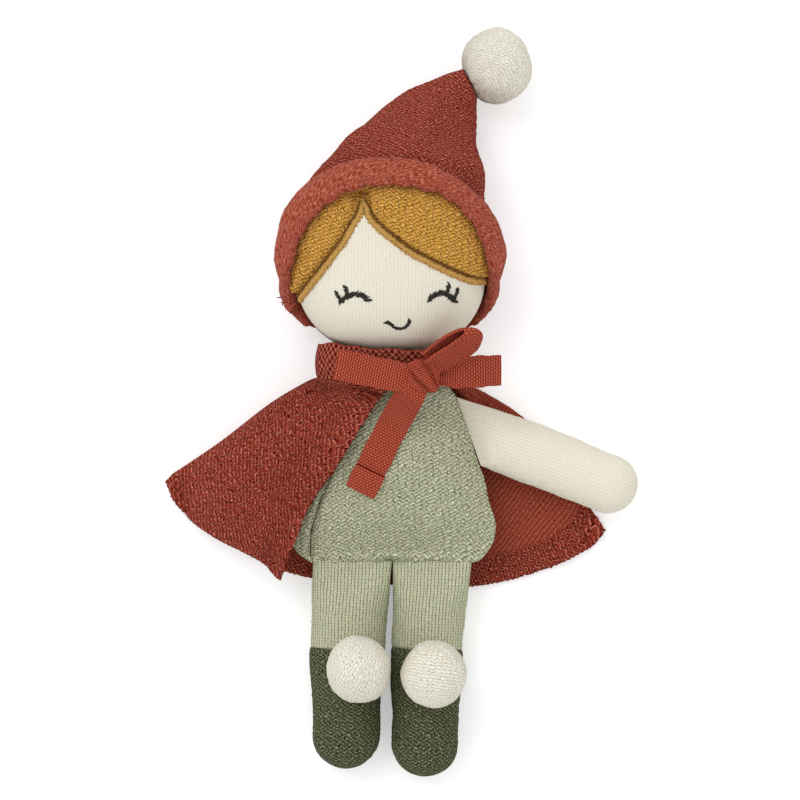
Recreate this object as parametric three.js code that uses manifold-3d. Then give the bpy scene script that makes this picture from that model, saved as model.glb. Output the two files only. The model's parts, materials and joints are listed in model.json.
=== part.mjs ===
// A stuffed elf doll that lies on its back, as sewn pieces that can be moved one against another.
// Millimetres. x runs across the doll, y from the feet to the hat, z up from the floor.
// x = 0 is the middle of the body and y = 0 the top of the arm seams.

import * as THREE from 'three';
import { mergeVertices } from 'three/addons/utils/BufferGeometryUtils.js';
import Module from 'manifold-3d';

const wasm = await Module();
wasm.setup();

// Cloth, seams and clearances
const gap = 0.3;
const fillingRoom = 0.6;
const skin = 1;
const seamSlit = 0.35;
const flattened = 0.5;
const hatKnit = 1.2;
const hairKnit = 1.7;
const capeKnit = 1.5;
const collarKnit = 1.6;
const tapeWidth = 10;
const tapeThick = 0.9;

// Tunic, a pillow of two panels sewn at the sides
const tunicMid = 14;
const tunicFront = 15;
const tunicTop = 15;
const shoulderY = 1;
const waistY = -22;
const hemY = -53;
const tunicNeckHalf = 12;
const shoulderHalf = 21;
const waistHalf = 29.2;
const hemHalf = 34;
const sideAllowance = 1.5;

// Head and neck
const headX = -0.5;
const headHalf = 32;
const headTall = 31.8;
const headFront = 25;
const headBack = 20;
const headRound = 2.4;
const neckRadius = 5.5;
const neckInHead = 9;
const neckInTunic = 9;

// Hat, with its rolled brim and its pompom
const brimRise = 21;
const brimDrop = 55;
const brimLead = 12;
const brimHalf = 6;
const brimThick = 6;
const hatTall = 58;
const hatTipHalf = 5.5;
const hatPompomRadius = 12;

// Arms
const armLength = 49.5;
const armHalf = 10;
const armDeep = 18;
const armTaper = 14;

// Legs and boots
const legHalf = 12;
const bootHalf = 11;
const legDeep = 20.6;
const legTaper = 18;
const leftLegLength = 69.4;
const rightLegLength = 72;
const legSeamHalf = 13.1;
const bootTopY = -82.8;
const bootPompomRadius = 11;

// Collar and bow
const collarHalf = 23;
const collarTall = 10;
const collarTopY = 18;
const loopLength = 25;
const loopHeight = 3;
const openLoopLength = 22;
const openLoopHeight = 5;
const knotHalf = 5.2;
const knotDeep = 6;
const tailLength = 44;
const sideTailLength = 20.5;
const tailHem = 8.6;

// Cape, cut as a half round
const capeLength = 85;
const capeFold = 1.2;
const capeRoom = 1.6;
const capeSlack = 9;

// Sizes that follow from the ones above
const seamHalf = skin + seamSlit;
const restZ = capeKnit + gap;
const tunicBack = tunicMid - seamHalf - restZ;
const foldZ = tunicMid + seamHalf;
const headZ = headBack + gap + hatKnit - flattened;
const headY = tunicTop + gap + headTall;
const neckZ = tunicMid + 1.5;
const far = 400;

const colors = {
  jersey: 0xe9e2cf,
  tunic: 0xa9b192,
  leg: 0xb0b698,
  boot: 0x4a5a3c,
  rust: 0xa6402c,
  brim: 0xb4523f,
  tape: 0xb5412f,
  hair: 0xc08a33,
  pompom: 0xefe9d9,
  filling: 0xf4f1ea,
};

const point = (x, y, z) => new THREE.Vector3(x, y, z);
const mix = (a, b, t) => a + (b - a) * t;
const clamp01 = (t) => Math.min(1, Math.max(0, t));
const smooth = (t) => clamp01(t) ** 2 * (3 - 2 * clamp01(t));
const quarterSine = (t) => Math.sin(clamp01(t) * Math.PI / 2);
const steps = (from, to, count) => Array.from({ length: count + 1 }, (_, i) => mix(from, to, i / count));
const signedPower = (value, power) => Math.sign(value) * Math.abs(value) ** power;

// Turns points and triangles into a solid whose faces point out.
function solidOf(points, faces) {
  let volume = 0;
  for (let i = 0; i < faces.length; i += 3) {
    const [a, b, c] = [points[faces[i]], points[faces[i + 1]], points[faces[i + 2]]];
    volume += a.dot(b.clone().cross(c));
  }
  const geometry = new THREE.BufferGeometry().setFromPoints(points);
  geometry.setIndex(volume < 0 ? faces.slice().reverse() : faces);
  return solidFrom(geometry);
}

function solidFrom(geometry) {
  const bare = geometry.clone();
  bare.deleteAttribute('normal');
  bare.deleteAttribute('uv');
  const merged = mergeVertices(bare, 1e-4);
  return new wasm.Manifold(new wasm.Mesh({
    numProp: 3,
    vertProperties: new Float32Array(merged.attributes.position.array),
    triVerts: new Uint32Array(merged.index.array),
  }));
}

// Skins over rings of points: with a cap at each end, or joined up in a loop.
function loft(rings, { loop = false } = {}) {
  const around = rings[0].length;
  const points = rings.flat();
  const faces = [];
  const spans = loop ? rings.length : rings.length - 1;
  for (let i = 0; i < spans; i += 1) {
    const a = i * around;
    const b = ((i + 1) % rings.length) * around;
    for (let j = 0; j < around; j += 1) {
      const k = (j + 1) % around;
      faces.push(a + j, a + k, b + k, a + j, b + k, b + j);
    }
  }
  if (!loop) {
    for (const [ring, first] of [[rings[0], 0], [rings.at(-1), (rings.length - 1) * around]]) {
      const centre = points.length;
      points.push(ring.reduce((sum, p) => sum.add(p), point(0, 0, 0)).divideScalar(around));
      for (let j = 0; j < around; j += 1) {
        const k = (j + 1) % around;
        faces.push(...(first === 0 ? [centre, first + k, first + j] : [centre, first + j, first + k]));
      }
    }
  }
  return solidOf(points, faces);
}

// A sheet of cloth on a grid of points, with its thickness laid half on each side.
function cloth(grid, thicknessAt) {
  const rows = grid.length;
  const columns = grid[0].length;
  const upper = [];
  const lower = [];
  for (let i = 0; i < rows; i += 1) {
    for (let j = 0; j < columns; j += 1) {
      const along = grid[Math.min(i + 1, rows - 1)][j].clone().sub(grid[Math.max(i - 1, 0)][j]);
      const across = grid[i][Math.min(j + 1, columns - 1)].clone().sub(grid[i][Math.max(j - 1, 0)]);
      const normal = along.cross(across).normalize();
      const [above, below] = thicknessAt(i, j);
      upper.push(grid[i][j].clone().addScaledVector(normal, above));
      lower.push(grid[i][j].clone().addScaledVector(normal, -below));
    }
  }
  const at = (i, j) => i * columns + j;
  const under = rows * columns;
  const faces = [];
  const quad = (a, b, c, d) => faces.push(a, b, c, a, c, d);
  for (let i = 0; i < rows - 1; i += 1) {
    for (let j = 0; j < columns - 1; j += 1) {
      quad(at(i, j), at(i + 1, j), at(i + 1, j + 1), at(i, j + 1));
      quad(under + at(i, j), under + at(i, j + 1), under + at(i + 1, j + 1), under + at(i + 1, j));
    }
  }
  for (let i = 0; i < rows - 1; i += 1) {
    quad(at(i, 0), under + at(i, 0), under + at(i + 1, 0), at(i + 1, 0));
    const [here, next] = [at(i, columns - 1), at(i + 1, columns - 1)];
    quad(here, next, under + next, under + here);
  }
  for (let j = 0; j < columns - 1; j += 1) {
    quad(at(0, j), at(0, j + 1), under + at(0, j + 1), under + at(0, j));
    quad(at(rows - 1, j), under + at(rows - 1, j), under + at(rows - 1, j + 1), at(rows - 1, j + 1));
  }
  return solidOf([...upper, ...lower], faces);
}

// A block that fills all space between two heights along one direction.
function slab(axis, from, to) {
  const size = { x: far, y: far, z: far, [axis]: to - from };
  const box = new THREE.BoxGeometry(size.x, size.y, size.z);
  const middle = { x: 0, y: 0, z: 0, [axis]: (from + to) / 2 };
  return solidFrom(box.translate(middle.x, middle.y, middle.z));
}

const aboveFloor = slab('z', 0, far);
const rest = (solid) => solid.intersect(aboveFloor);

// A round peg or hole along y.
function roundAlongY(radius, from, to, sides = 24) {
  const rod = new THREE.CylinderGeometry(radius, radius, to - from, sides);
  return solidFrom(rod.translate(headX, (from + to) / 2, neckZ));
}

// Tunic

const tunicOutline = [
  [hemY, hemHalf],
  [waistY, waistHalf],
  [shoulderY, shoulderHalf],
  [tunicTop, tunicNeckHalf],
];

function tunicHalfAt(y) {
  const next = Math.max(1, tunicOutline.findIndex(([height]) => height >= y));
  const [[y0, half0], [y1, half1]] = [tunicOutline[next - 1], tunicOutline[next]];
  return mix(half0, half1, clamp01((y - y0) / (y1 - y0)));
}

// How full the pillow is along its length: flat at the hem, half full at the neck.
function tunicFullness(y) {
  const v = clamp01((y - hemY) / (tunicTop - hemY));
  return v < 0.5 ? 1 - (1 - 2 * v) ** 2 : 1 - 0.5 * (2 * v - 1) ** 2.2;
}

// inset draws the thickness in, edge the outline, and crop stops the lens short of its edge.
function tunicForm({ inset = 0, edge = 0, crop = 0, from = hemY, to = tunicTop }) {
  const heights = [...steps(from, waistY, 4), ...steps(waistY, shoulderY, 3), ...steps(shoulderY, to, 3)]
    .filter((y, i, all) => y !== all[i - 1]);
  const across = steps(0, Math.PI, 10).map(Math.cos);
  return loft(heights.map((y) => {
    const lens = tunicHalfAt(Math.min(y, tunicTop - 0.01)) - edge;
    const half = lens - crop;
    const swell = (u) => tunicFullness(y) * (1 - (u * half / lens) ** 2);
    const front = across.map((u) => point(u * half, y, foldZ - inset + tunicFront * swell(u)));
    const back = across.map((u) => point(u * half, y, tunicMid - seamHalf + inset - tunicBack * swell(u)));
    return [...front, ...back.reverse()];
  }));
}

function tunicFrontAt(x, y) {
  return foldZ + tunicFront * tunicFullness(y) * Math.max(0, 1 - (x / tunicHalfAt(y)) ** 2);
}

function makeTunic() {
  const neckHole = roundAlongY(neckRadius + gap, tunicTop - neckInTunic, tunicTop + 5);
  const hollow = tunicForm({ inset: skin, edge: sideAllowance, from: hemY - 1, to: tunicTop - skin });
  const shell = tunicForm({}).subtract(hollow).subtract(neckHole);
  const filling = tunicForm({
    inset: skin + 2 * fillingRoom,
    edge: sideAllowance,
    crop: 3,
    from: hemY + 4,
    to: tunicTop - neckInTunic - gap,
  });
  return {
    front: shell.intersect(slab('z', tunicMid + gap / 2, far)),
    back: shell.intersect(slab('z', -far, tunicMid - gap / 2)),
    filling,
  };
}

// Head

// A rounded block with its seam at the height of headZ, grown all round by grow.
function headForm(grow) {
  const turns = steps(0, 2 * Math.PI, 24).slice(0, -1);
  return loft(steps(-86, 86, 12).map((degrees) => {
    const v = Math.sin(THREE.MathUtils.degToRad(degrees));
    const full = (1 - Math.abs(v) ** headRound) ** (1 / headRound);
    return turns.map((turn) => {
      const across = signedPower(Math.cos(turn), 2 / headRound);
      const up = signedPower(Math.sin(turn), 2 / headRound);
      const deep = (up > 0 ? headFront : headBack) + grow;
      const half = (headHalf + grow) * full;
      return point(headX + half * across, headY + (headTall + grow) * v, headZ + deep * full * up);
    });
  }));
}

// The point of the head's surface that lies in a direction from its centre, and the way out of it there.
function onHead(direction, grow) {
  const deep = (direction.z > 0 ? headFront : headBack) + grow;
  const slope = (value, size) => signedPower(value / size, headRound - 1) / size;
  const outward = point(
    slope(direction.x, headHalf + grow),
    slope(direction.y, headTall + grow),
    slope(direction.z, deep),
  );
  const reach = direction.dot(outward) ** (-1 / headRound);
  const place = point(headX, headY, headZ).addScaledVector(direction, reach);
  return { place, outward: outward.normalize() };
}

function makeHead() {
  const neckTop = headY - headTall + neckInHead;
  const neckHole = roundAlongY(neckRadius + gap, headY - headTall - 5, neckTop + gap);
  const shell = headForm(0).subtract(headForm(-skin)).subtract(neckHole);
  return {
    face: shell.intersect(slab('z', headZ + gap / 2, far)),
    back: shell.intersect(slab('z', -far, headZ - gap / 2)),
    filling: headForm(-skin - fillingRoom).subtract(neckHole),
    neck: roundAlongY(neckRadius, tunicTop - neckInTunic, neckTop),
  };
}

// The wedge of space in front of the hat's rim, seen from the side. Its edge is level with the head's middle.
const rise = THREE.MathUtils.degToRad(brimRise);
const drop = THREE.MathUtils.degToRad(brimDrop);

function faceWedge(shrink) {
  const outline = new THREE.Shape([
    new THREE.Vector2(0, 0),
    new THREE.Vector2(far * Math.cos(rise), far * Math.sin(rise)),
    new THREE.Vector2(0, far),
    new THREE.Vector2(-far * Math.cos(drop), -far * Math.sin(drop)),
  ]);
  const prism = new THREE.ExtrudeGeometry(outline, { depth: far, bevelEnabled: false });
  prism.translate(0, 0, -far / 2);
  prism.applyMatrix4(new THREE.Matrix4().makeBasis(point(0, 1, 0), point(0, 0, 1), point(1, 0, 0)));
  return solidFrom(prism.translate(0, headY, headZ + brimLead + shrink));
}

// Hair, two flat knit pieces sewn on the face, each cut to an outline seen from the front. Its points
// are counted from the head's middle, in halves of the head.
const hairOutlines = {
  hair_left: [
    [-0.284, 0.814], [-0.284, 0.443], [-0.397, 0.082], [-0.522, -0.075],
    [-0.728, -0.286], [-0.969, -0.491], [-1.36, -0.223], [-1.36, 0.814],
  ],
  hair_right: [
    [-0.266, 0.814], [-0.266, 0.443], [-0.109, 0.186], [0.097, -0.003], [0.409, -0.179],
    [0.719, -0.305], [1.047, -0.336], [1.39, 0.091], [1.39, 0.814],
  ],
};

function makeHair(outline) {
  const shape = new THREE.Shape(outline.map(([x, y]) => (
    new THREE.Vector2(headX + headHalf * x, headY + headTall * y))));
  const prism = new THREE.ExtrudeGeometry(shape, { depth: far, bevelEnabled: false });
  const cutter = solidFrom(prism.translate(0, 0, headZ + gap / 2));
  const piece = headForm(gap + hairKnit).subtract(headForm(gap)).intersect(cutter);
  return piece.intersect(faceWedge(gap)).subtract(brimForm(gap));
}

// Hat

// The roll of knit at the rim, laid on the head along the wedge: over the forehead, down both cheeks
// and behind the neck, where it lies under the head and is pressed thin.
function brimForm(grow) {
  const around = steps(0, 2 * Math.PI, 40).slice(0, -1);
  const section = steps(0, 2 * Math.PI, 10).slice(0, -1);
  const overHair = gap + hairKnit + gap;
  const line = around.map((turn) => {
    const up = Math.sin(turn);
    const tilt = up > 0 ? rise : drop;
    const behindNeck = smooth(-1.4 * up);
    const thick = brimThick / 2 * mix(1, 0.45, behindNeck);
    const half = brimHalf * mix(1, 0.6, behindNeck);
    const direction = point(
      headHalf * Math.cos(turn),
      headTall * up * Math.cos(tilt),
      brimLead + headTall * up * Math.sin(tilt),
    );
    return { ...onHead(direction, mix(overHair, gap, behindNeck) + thick), half, thick };
  });
  return loft(line.map(({ place, outward, half, thick }, i) => {
    const along = line[(i + 1) % line.length].place.clone().sub(line.at(i - 1).place);
    const level = along.cross(outward).normalize();
    return section.map((angle) => place.clone()
      .addScaledVector(level, (half + grow) * Math.cos(angle))
      .addScaledVector(outward, (thick + grow) * Math.sin(angle)));
  }), { loop: true });
}

// Rings of the cone from inside the crown to its tip: middle, half across and half deep. Places are
// counted from the head's middle in heights of the hat, and widths in halves of the head.
const onHat = (x, y, z) => point(headX + hatTall * x, headY + hatTall * y, headZ * z);
const hatAcross = (x, y) => point(headHalf * x, headHalf * y, 0);
const tipMiddle = onHat(0.455, 1, 0.57);
const tipAcross = hatAcross(0.077, -0.155).normalize();
const coneRings = [
  { middle: onHat(0, 0.136, 0.95), across: hatAcross(0.906, 0), deep: 0.64 * headFront },
  { middle: onHat(0.034, 0.395, 1.02), across: hatAcross(0.906, -0.062), deep: 0.76 * headFront },
  { middle: onHat(0.134, 0.586, 1.06), across: hatAcross(0.712, -0.156), deep: 0.8 * headFront },
  { middle: onHat(0.274, 0.8, 0.76), across: hatAcross(0.397, -0.234), deep: 0.5 * headFront },
  { middle: onHat(0.384, 0.917, 0.62), across: hatAcross(0.188, -0.219), deep: 0.32 * headFront },
  { middle: tipMiddle, across: tipAcross.clone().multiplyScalar(hatTipHalf), deep: hatTipHalf },
];

function coneForm(inset) {
  const middles = new THREE.CatmullRomCurve3(coneRings.map((ring) => ring.middle));
  const acrosses = new THREE.CatmullRomCurve3(coneRings.map((ring) => ring.across));
  const deeps = new THREE.CatmullRomCurve3(coneRings.map((ring, i) => point(i, ring.deep, 0)));
  const turns = steps(0, 2 * Math.PI, 20).slice(0, -1);
  return loft(steps(0, 1, 11).map((t) => {
    const across = acrosses.getPoint(t);
    const half = across.length() - inset;
    const deep = deeps.getPoint(t).y - inset;
    const back = middles.getTangent(t).multiplyScalar(t === 1 ? -inset : 0);
    return turns.map((turn) => middles.getPoint(t).add(back)
      .addScaledVector(across.clone().normalize(), half * Math.cos(turn))
      .add(point(0, 0, deep * Math.sin(turn))));
  }));
}

function makeHat() {
  const outer = headForm(gap + hatKnit).add(coneForm(0));
  const inner = headForm(gap).add(coneForm(hatKnit));
  const cone = outer.subtract(inner).subtract(faceWedge(0)).subtract(brimForm(gap));
  const filling = coneForm(hatKnit + fillingRoom)
    .subtract(headForm(gap + hatKnit))
    .subtract(faceWedge(0))
    .subtract(brimForm(gap))
    .intersect(slab('y', headY + headTall * 0.6, far));
  return { cone: rest(cone), filling: rest(filling), brim: rest(brimForm(0)) };
}

// Pompoms, each a knit ball drawn in where it is sewn on, with a ball of filling

function pompom(radius, centre, neckDirection) {
  const hole = 1.6;
  const arc = (r, from) => steps(from, Math.PI, 8).map((angle) => {
    const drawnIn = 1 - 0.16 * Math.exp(-angle * 3);
    return new THREE.Vector2(angle === Math.PI ? 0 : r * Math.sin(angle), -r * drawnIn * Math.cos(angle));
  });
  const outer = arc(radius, Math.asin(hole / radius));
  const inner = arc(radius - skin, Math.asin(hole / (radius - skin))).reverse();
  const shell = new THREE.LatheGeometry([...inner, ...outer, inner[0]], 18);
  const core = new THREE.LatheGeometry(arc(radius - skin - fillingRoom, 0), 14);
  const turn = new THREE.Quaternion().setFromUnitVectors(point(0, -1, 0), neckDirection.clone().normalize());
  const place = new THREE.Matrix4().compose(centre, turn, point(1, 1, 1));
  return { shell: solidFrom(shell.applyMatrix4(place)), core: solidFrom(core.applyMatrix4(place)) };
}

// Limbs

// A stuffed tube from a flat sewn seam to a round end. path runs from the middle of the seam to the
// middle of the round end, seamSide is half of the seam, and inset draws the surface in.
function limbForm({ path, seamSide, half, endHalf, deep, taper, bottom }, { inset = 0, from = 0 } = {}) {
  const length = path.getLength();
  const tip = endHalf - inset;
  const startAt = path.getPoint(0);
  const startAlong = path.getTangent(0);
  const endAt = path.getPoint(1);
  const endAlong = path.getTangent(1);
  const turns = steps(0, 2 * Math.PI, 16).slice(0, -1);
  const body = [from, ...steps(Math.max(from, 0) + 1.5, taper, 3), ...steps(taper, length, 4).slice(1)];
  const roundEnd = steps(0, 82, 4).slice(1).map((degrees) => Math.sin(THREE.MathUtils.degToRad(degrees)));
  return loft([...body, ...roundEnd.map((far) => length + tip * far)].map((s) => {
    const t = clamp01(s / length);
    const along = s > length ? endAlong : path.getTangentAt(t);
    const middle = s > length ? endAt.clone() : path.getPointAt(t);
    if (s > length) middle.addScaledVector(endAlong, s - length);
    if (s < 0) middle.copy(startAt).addScaledVector(startAlong, s);
    const shrink = s > length ? Math.sqrt(1 - ((s - length) / tip) ** 2) : 1;
    const rise = quarterSine(s / taper);
    const upper = mix(foldZ, bottom + deep, rise) - inset;
    const lower = mix(tunicMid - seamHalf, bottom, rise) + inset;
    const width = mix(half, endHalf, smooth((s - taper) / (length - taper))) - inset;
    const straight = point(along.y, -along.x, 0).normalize().multiplyScalar(width);
    const narrowed = seamSide.clone().setLength(seamSide.length() - inset);
    const side = narrowed.lerp(straight, smooth(s / taper)).multiplyScalar(shrink);
    const square = mix(5, 2, smooth(s / taper));
    return turns.map((turn) => middle.clone()
      .addScaledVector(side, signedPower(Math.cos(turn), 2 / square))
      .setZ((upper + lower) / 2 + (upper - lower) / 2 * shrink * signedPower(Math.sin(turn), 2 / square)));
  }));
}

function makeLimb(limb) {
  return {
    shell: rest(limbForm(limb).subtract(limbForm(limb, { inset: skin, from: -1 }))),
    filling: limbForm(limb, { inset: skin + 2 * fillingRoom, from: 3 }).intersect(slab('z', skin, far)),
  };
}

const flatCurve = (places) => new THREE.CatmullRomCurve3(places.map(([x, y]) => point(x, y, 0)));

// The arm seam lies on the tunic's side between the waist and the shoulder, a gap away from it.
const armSide = point(waistHalf - shoulderHalf, waistY - shoulderY, 0);
const armOutward = point(-armSide.y, armSide.x, 0).normalize();
const armSeam = point((waistHalf + shoulderHalf) / 2, (waistY + shoulderY) / 2, 0)
  .addScaledVector(armOutward, gap);
const armShape = { half: armHalf, endHalf: armHalf, deep: armDeep, taper: armTaper, bottom: restZ };

// The path of an arm from its seam, bent as the doll lies, in shares of its length.
function armPath(outward, bends) {
  return flatCurve([[0, 0], ...bends].map(([out, up]) => (
    [outward * (armSeam.x + armLength * out), armSeam.y + armLength * up])));
}

const rightArm = {
  ...armShape,
  path: armPath(1, [[0.457, -0.162], [0.935, -0.352]]),
  seamSide: armSide.clone().multiplyScalar(0.5),
};
const leftArm = {
  ...armShape,
  path: armPath(-1, [[0.194, -0.057], [0.374, -0.182], [0.463, -0.325], [0.444, -0.483], [0.345, -0.582]]),
  seamSide: point(armSide.x, -armSide.y, 0).multiplyScalar(0.5),
};

// A leg with its foot at footX, and its pompom over and down from the middle of the boot's seam.
function makeLeg(seamX, footX, length, over, down) {
  const top = hemY - gap;
  const ankle = top - length + bootHalf;
  const limb = {
    path: flatCurve([[seamX, top], [mix(seamX, footX, 0.7), mix(top, ankle, 0.5)], [footX, ankle]]),
    seamSide: point(-legSeamHalf, 0, 0),
    half: legHalf,
    endHalf: bootHalf,
    deep: legDeep,
    taper: legTaper,
    bottom: -flattened,
  };
  const onBoot = point(
    footX + over * bootPompomRadius,
    bootTopY - down * bootPompomRadius,
    legDeep - flattened + bootPompomRadius * 0.72,
  );
  return { limb, onBoot };
}

const legs = {
  left: makeLeg(-legSeamHalf - gap, -0.453 * hemHalf, leftLegLength, 0.41, 0.564),
  right: makeLeg(legSeamHalf + gap, 0.332 * hemHalf, rightLegLength, 0.228, 0.69),
};

// Collar, a band that stands round the neck and leans out under the chin.
const collarLow = { half: collarHalf - 3, front: headZ + 8, back: restZ + 1.2, top: collarTopY - collarTall };
const collarHigh = { half: collarHalf, front: headZ + 14.5, back: restZ + 3, top: collarTopY };

function collarForm(grow) {
  return loft(steps(0, 2 * Math.PI, 36).slice(0, -1).map((turn) => {
    const front = clamp01(0.5 + 0.5 * Math.sin(turn));
    return [[collarLow, 0], [collarLow, 1], [collarHigh, 1], [collarHigh, 0]].map(([edge, outer]) => {
      const extra = outer ? collarKnit + grow : -grow;
      const middle = (edge.front + edge.back) / 2;
      const deep = (edge.front - edge.back) / 2 + extra;
      const y = edge === collarHigh ? mix(tunicTop - gap, edge.top, smooth(front)) : edge.top;
      return point(headX + (edge.half + extra) * Math.cos(turn), y, middle + deep * Math.sin(turn));
    });
  }), { loop: true });
}

// Bow, tied from one tape: a flat loop, an open loop, two tails and the knot.
const bowBack = collarHigh.front + collarKnit + gap;
const knot = point(9.9, 8.9, bowBack + knotDeep / 2);

// The middle line of a loop of tape, in a frame that points away from the knot.
function loopLine(length, height, count) {
  const open = 0.04;
  const reach = (t) => Math.sin(Math.PI * t) ** 0.8;
  return steps(open, 1 - open, count).map((t) => ({
    out: length * (reach(t) - reach(open)),
    up: -height / 2 * Math.cos(Math.PI * t) * (0.4 + 0.6 * Math.sin(Math.PI * t)),
  }));
}

function tapeLoop(start, away, widthways, length, height) {
  const outward = away.clone().normalize();
  const across = widthways.clone().addScaledVector(outward, -widthways.dot(outward)).normalize();
  const normal = outward.clone().cross(across);
  const grid = loopLine(length, height, 22).map(({ out, up }) => [-1, 1].map((side) => start.clone()
    .addScaledVector(outward, out)
    .addScaledVector(normal, up)
    .addScaledVector(across, side * tapeWidth / 2)));
  return cloth(grid, () => [tapeThick / 2, tapeThick / 2]);
}

function makeKnot() {
  const turns = steps(0, 2 * Math.PI, 16).slice(0, -1);
  return loft(steps(-80, 80, 8).map((degrees) => {
    const angle = THREE.MathUtils.degToRad(degrees);
    const full = Math.cos(angle) ** 0.5;
    return turns.map((turn) => point(
      knot.x + knotHalf * full * signedPower(Math.cos(turn), 0.7),
      knot.y + knotHalf * signedPower(Math.sin(angle), 0.8),
      knot.z + knotDeep / 2 * full * signedPower(Math.sin(turn), 0.7),
    ));
  }));
}

// The tail that hangs down the tunic, over the corner of the flat loop, with its end folded in a hem.
function makeHangingTail() {
  const top = knot.z + 2.6;
  const path = new THREE.CatmullRomCurve3([
    point(knot.x - knotHalf / 2, knot.y - knotHalf - gap, 0),
    point(knot.x - 0.23 * tailLength, knot.y - knotHalf - 0.295 * tailLength, 0),
    point(knot.x - 0.466 * tailLength, knot.y - knotHalf - 0.775 * tailLength, 0),
  ]);
  const length = path.getLength();
  const places = [...steps(0, 1 - tailHem / length, 9), 1 - tailHem / length + 0.01, 1];
  const grid = places.map((t) => {
    const along = path.getTangentAt(t);
    return steps(-1, 1, 4).map((side) => {
      const at = path.getPointAt(t).addScaledVector(point(-along.y, along.x, 0), side * tapeWidth / 2);
      const onTunic = tunicFrontAt(at.x, at.y) + 2 * gap + tapeThick / 2;
      return at.setZ(mix(top, onTunic, smooth(t / 0.5)));
    });
  });
  return cloth(grid, (i) => [i > 9 ? tapeThick * 1.5 : tapeThick / 2, tapeThick / 2]);
}

function makeSideTail() {
  const path = new THREE.CatmullRomCurve3([
    point(knot.x + knotHalf + gap, knot.y - 0.2, knot.z - 2.6),
    point(knot.x + knotHalf + 0.42 * sideTailLength, knot.y + 0.2, knot.z - 3.6),
    point(knot.x + knotHalf + gap + sideTailLength, knot.y + 0.9, knot.z - 5.6),
  ]);
  const grid = steps(0, 1, 7).map((t) => [-1, 1].map((side) => (
    path.getPointAt(t).add(point(0, side * tapeWidth / 2, 0)))));
  return cloth(grid, () => [tapeThick / 2, tapeThick / 2]);
}

// Cape, one half round of knit hung from the collar. Each spoke runs from the collar to the hem, from
// the front edge over the left arm, round the fold and the back, to the edge spread on the right. Its
// places are in shares of the cape's length.
// front is 1 where the cloth lies over the arm and the tunic, and 0 where it lies on the floor.
const capeSpokes = [
  { turn: 12, front: 1, places: [[-0.082, -0.035], [-0.215, -0.253], [-0.327, -0.418], [-0.439, -0.698]] },
  { turn: 35, front: 1, places: [[-0.165, -0.024], [-0.306, -0.235], [-0.435, -0.447], [-0.509, -0.624]] },
  { turn: 58, front: 1, places: [[-0.247, -0.012], [-0.4, -0.176], [-0.559, -0.353], [-0.7, -0.525]] },
  { turn: 75, front: 0.95, places: [[-0.306, 0.035], [-0.459, -0.082], [-0.647, -0.241], [-0.824, -0.433]] },
  { turn: 92, front: 0.5, places: [[-0.324, 0.074], [-0.465, -0.016], [-0.671, -0.172], [-0.899, -0.324]] },
  { turn: 112, front: 0.05, places: [[-0.312, 0.053], [-0.453, -0.053], [-0.641, -0.218], [-0.835, -0.412]] },
  { turn: 135, front: 0, places: [[-0.259, -0.047], [-0.376, -0.2], [-0.506, -0.376], [-0.635, -0.565]] },
  { turn: 160, front: 0, places: [[-0.141, -0.071], [-0.235, -0.271], [-0.318, -0.494], [-0.388, -0.682]] },
  { turn: 180, front: 0, places: [[-0.024, -0.071], [-0.047, -0.282], [-0.059, -0.506], [-0.059, -0.718]] },
  { turn: 205, front: 0, places: [[0.118, -0.071], [0.165, -0.282], [0.224, -0.506], [0.282, -0.734]] },
  { turn: 232, front: 0, places: [[0.247, -0.071], [0.341, -0.259], [0.459, -0.471], [0.576, -0.671]] },
  { turn: 258, front: 0, places: [[0.318, -0.035], [0.459, -0.188], [0.612, -0.365], [0.782, -0.574]] },
  { turn: 282, front: 0, places: [[0.353, 0.035], [0.518, -0.071], [0.671, -0.259], [0.835, -0.512]] },
];

// The height of whatever holds the front of the cape up, at a place seen from above.
function heightUnderCape(x, y) {
  const outside = Math.max(0, Math.abs(x) - tunicHalfAt(y), hemY - y);
  const onTunic = gap + (outside > 0 ? foldZ - 2 * outside : tunicFrontAt(x, y));
  const away = Math.min(...leftArm.path.getPoints(20).map((at) => Math.hypot(at.x - x, at.y - y)));
  const onArm = (restZ + armDeep + capeRoom) * (1 - (away / (2 * armHalf)) ** 2);
  const soft = (a, b) => (a + b + Math.hypot(a - b, capeSlack)) / 2;
  return Math.max(restZ + gap, soft(onTunic, onArm));
}

function makeCape() {
  const middle = (collarLow.front + collarLow.back) / 2;
  const deep = (collarLow.front - collarLow.back) / 2 + collarKnit / 2;
  const neck = ({ turn }) => point(
    headX - (collarLow.half + collarKnit / 2) * Math.sin(THREE.MathUtils.degToRad(turn)),
    collarLow.top - gap - capeKnit / 2,
    middle + deep * Math.cos(THREE.MathUtils.degToRad(turn)),
  );
  const fronts = new THREE.CatmullRomCurve3(capeSpokes.map(({ front }, i) => point(i, front, 0)));
  const lines = capeSpokes.map((spoke) => new THREE.CatmullRomCurve3(
    [neck(spoke), ...spoke.places.map(([x, y]) => point(capeLength * x, capeLength * y, 0))],
    false,
    'centripetal',
  ));
  const grid = steps(0, 1, 9).map((out) => {
    const ring = new THREE.CatmullRomCurve3(lines.map((line) => line.getPoint(out)));
    const start = new THREE.CatmullRomCurve3(lines.map((line) => line.getPoint(0)));
    return steps(0, 1, 36).map((t) => {
      const place = ring.getPoint(t);
      const front = clamp01(fronts.getPoint(t).y);
      const fold = capeFold * out * (0.5 - 0.5 * Math.cos(t * 12 * Math.PI)) * front;
      const over = heightUnderCape(place.x, place.y) + gap + capeKnit / 2 + fold;
      const lying = mix(capeKnit / 2, over, front);
      const free = mix(start.getPoint(t).z, lying, smooth(out / 0.3));
      return place.setZ(front > 0.8 ? Math.max(free, over) : free);
    });
  });
  return rest(cloth(grid, () => [capeKnit / 2, capeKnit / 2]));
}

// Assembly

const doll = new THREE.Group();

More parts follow.
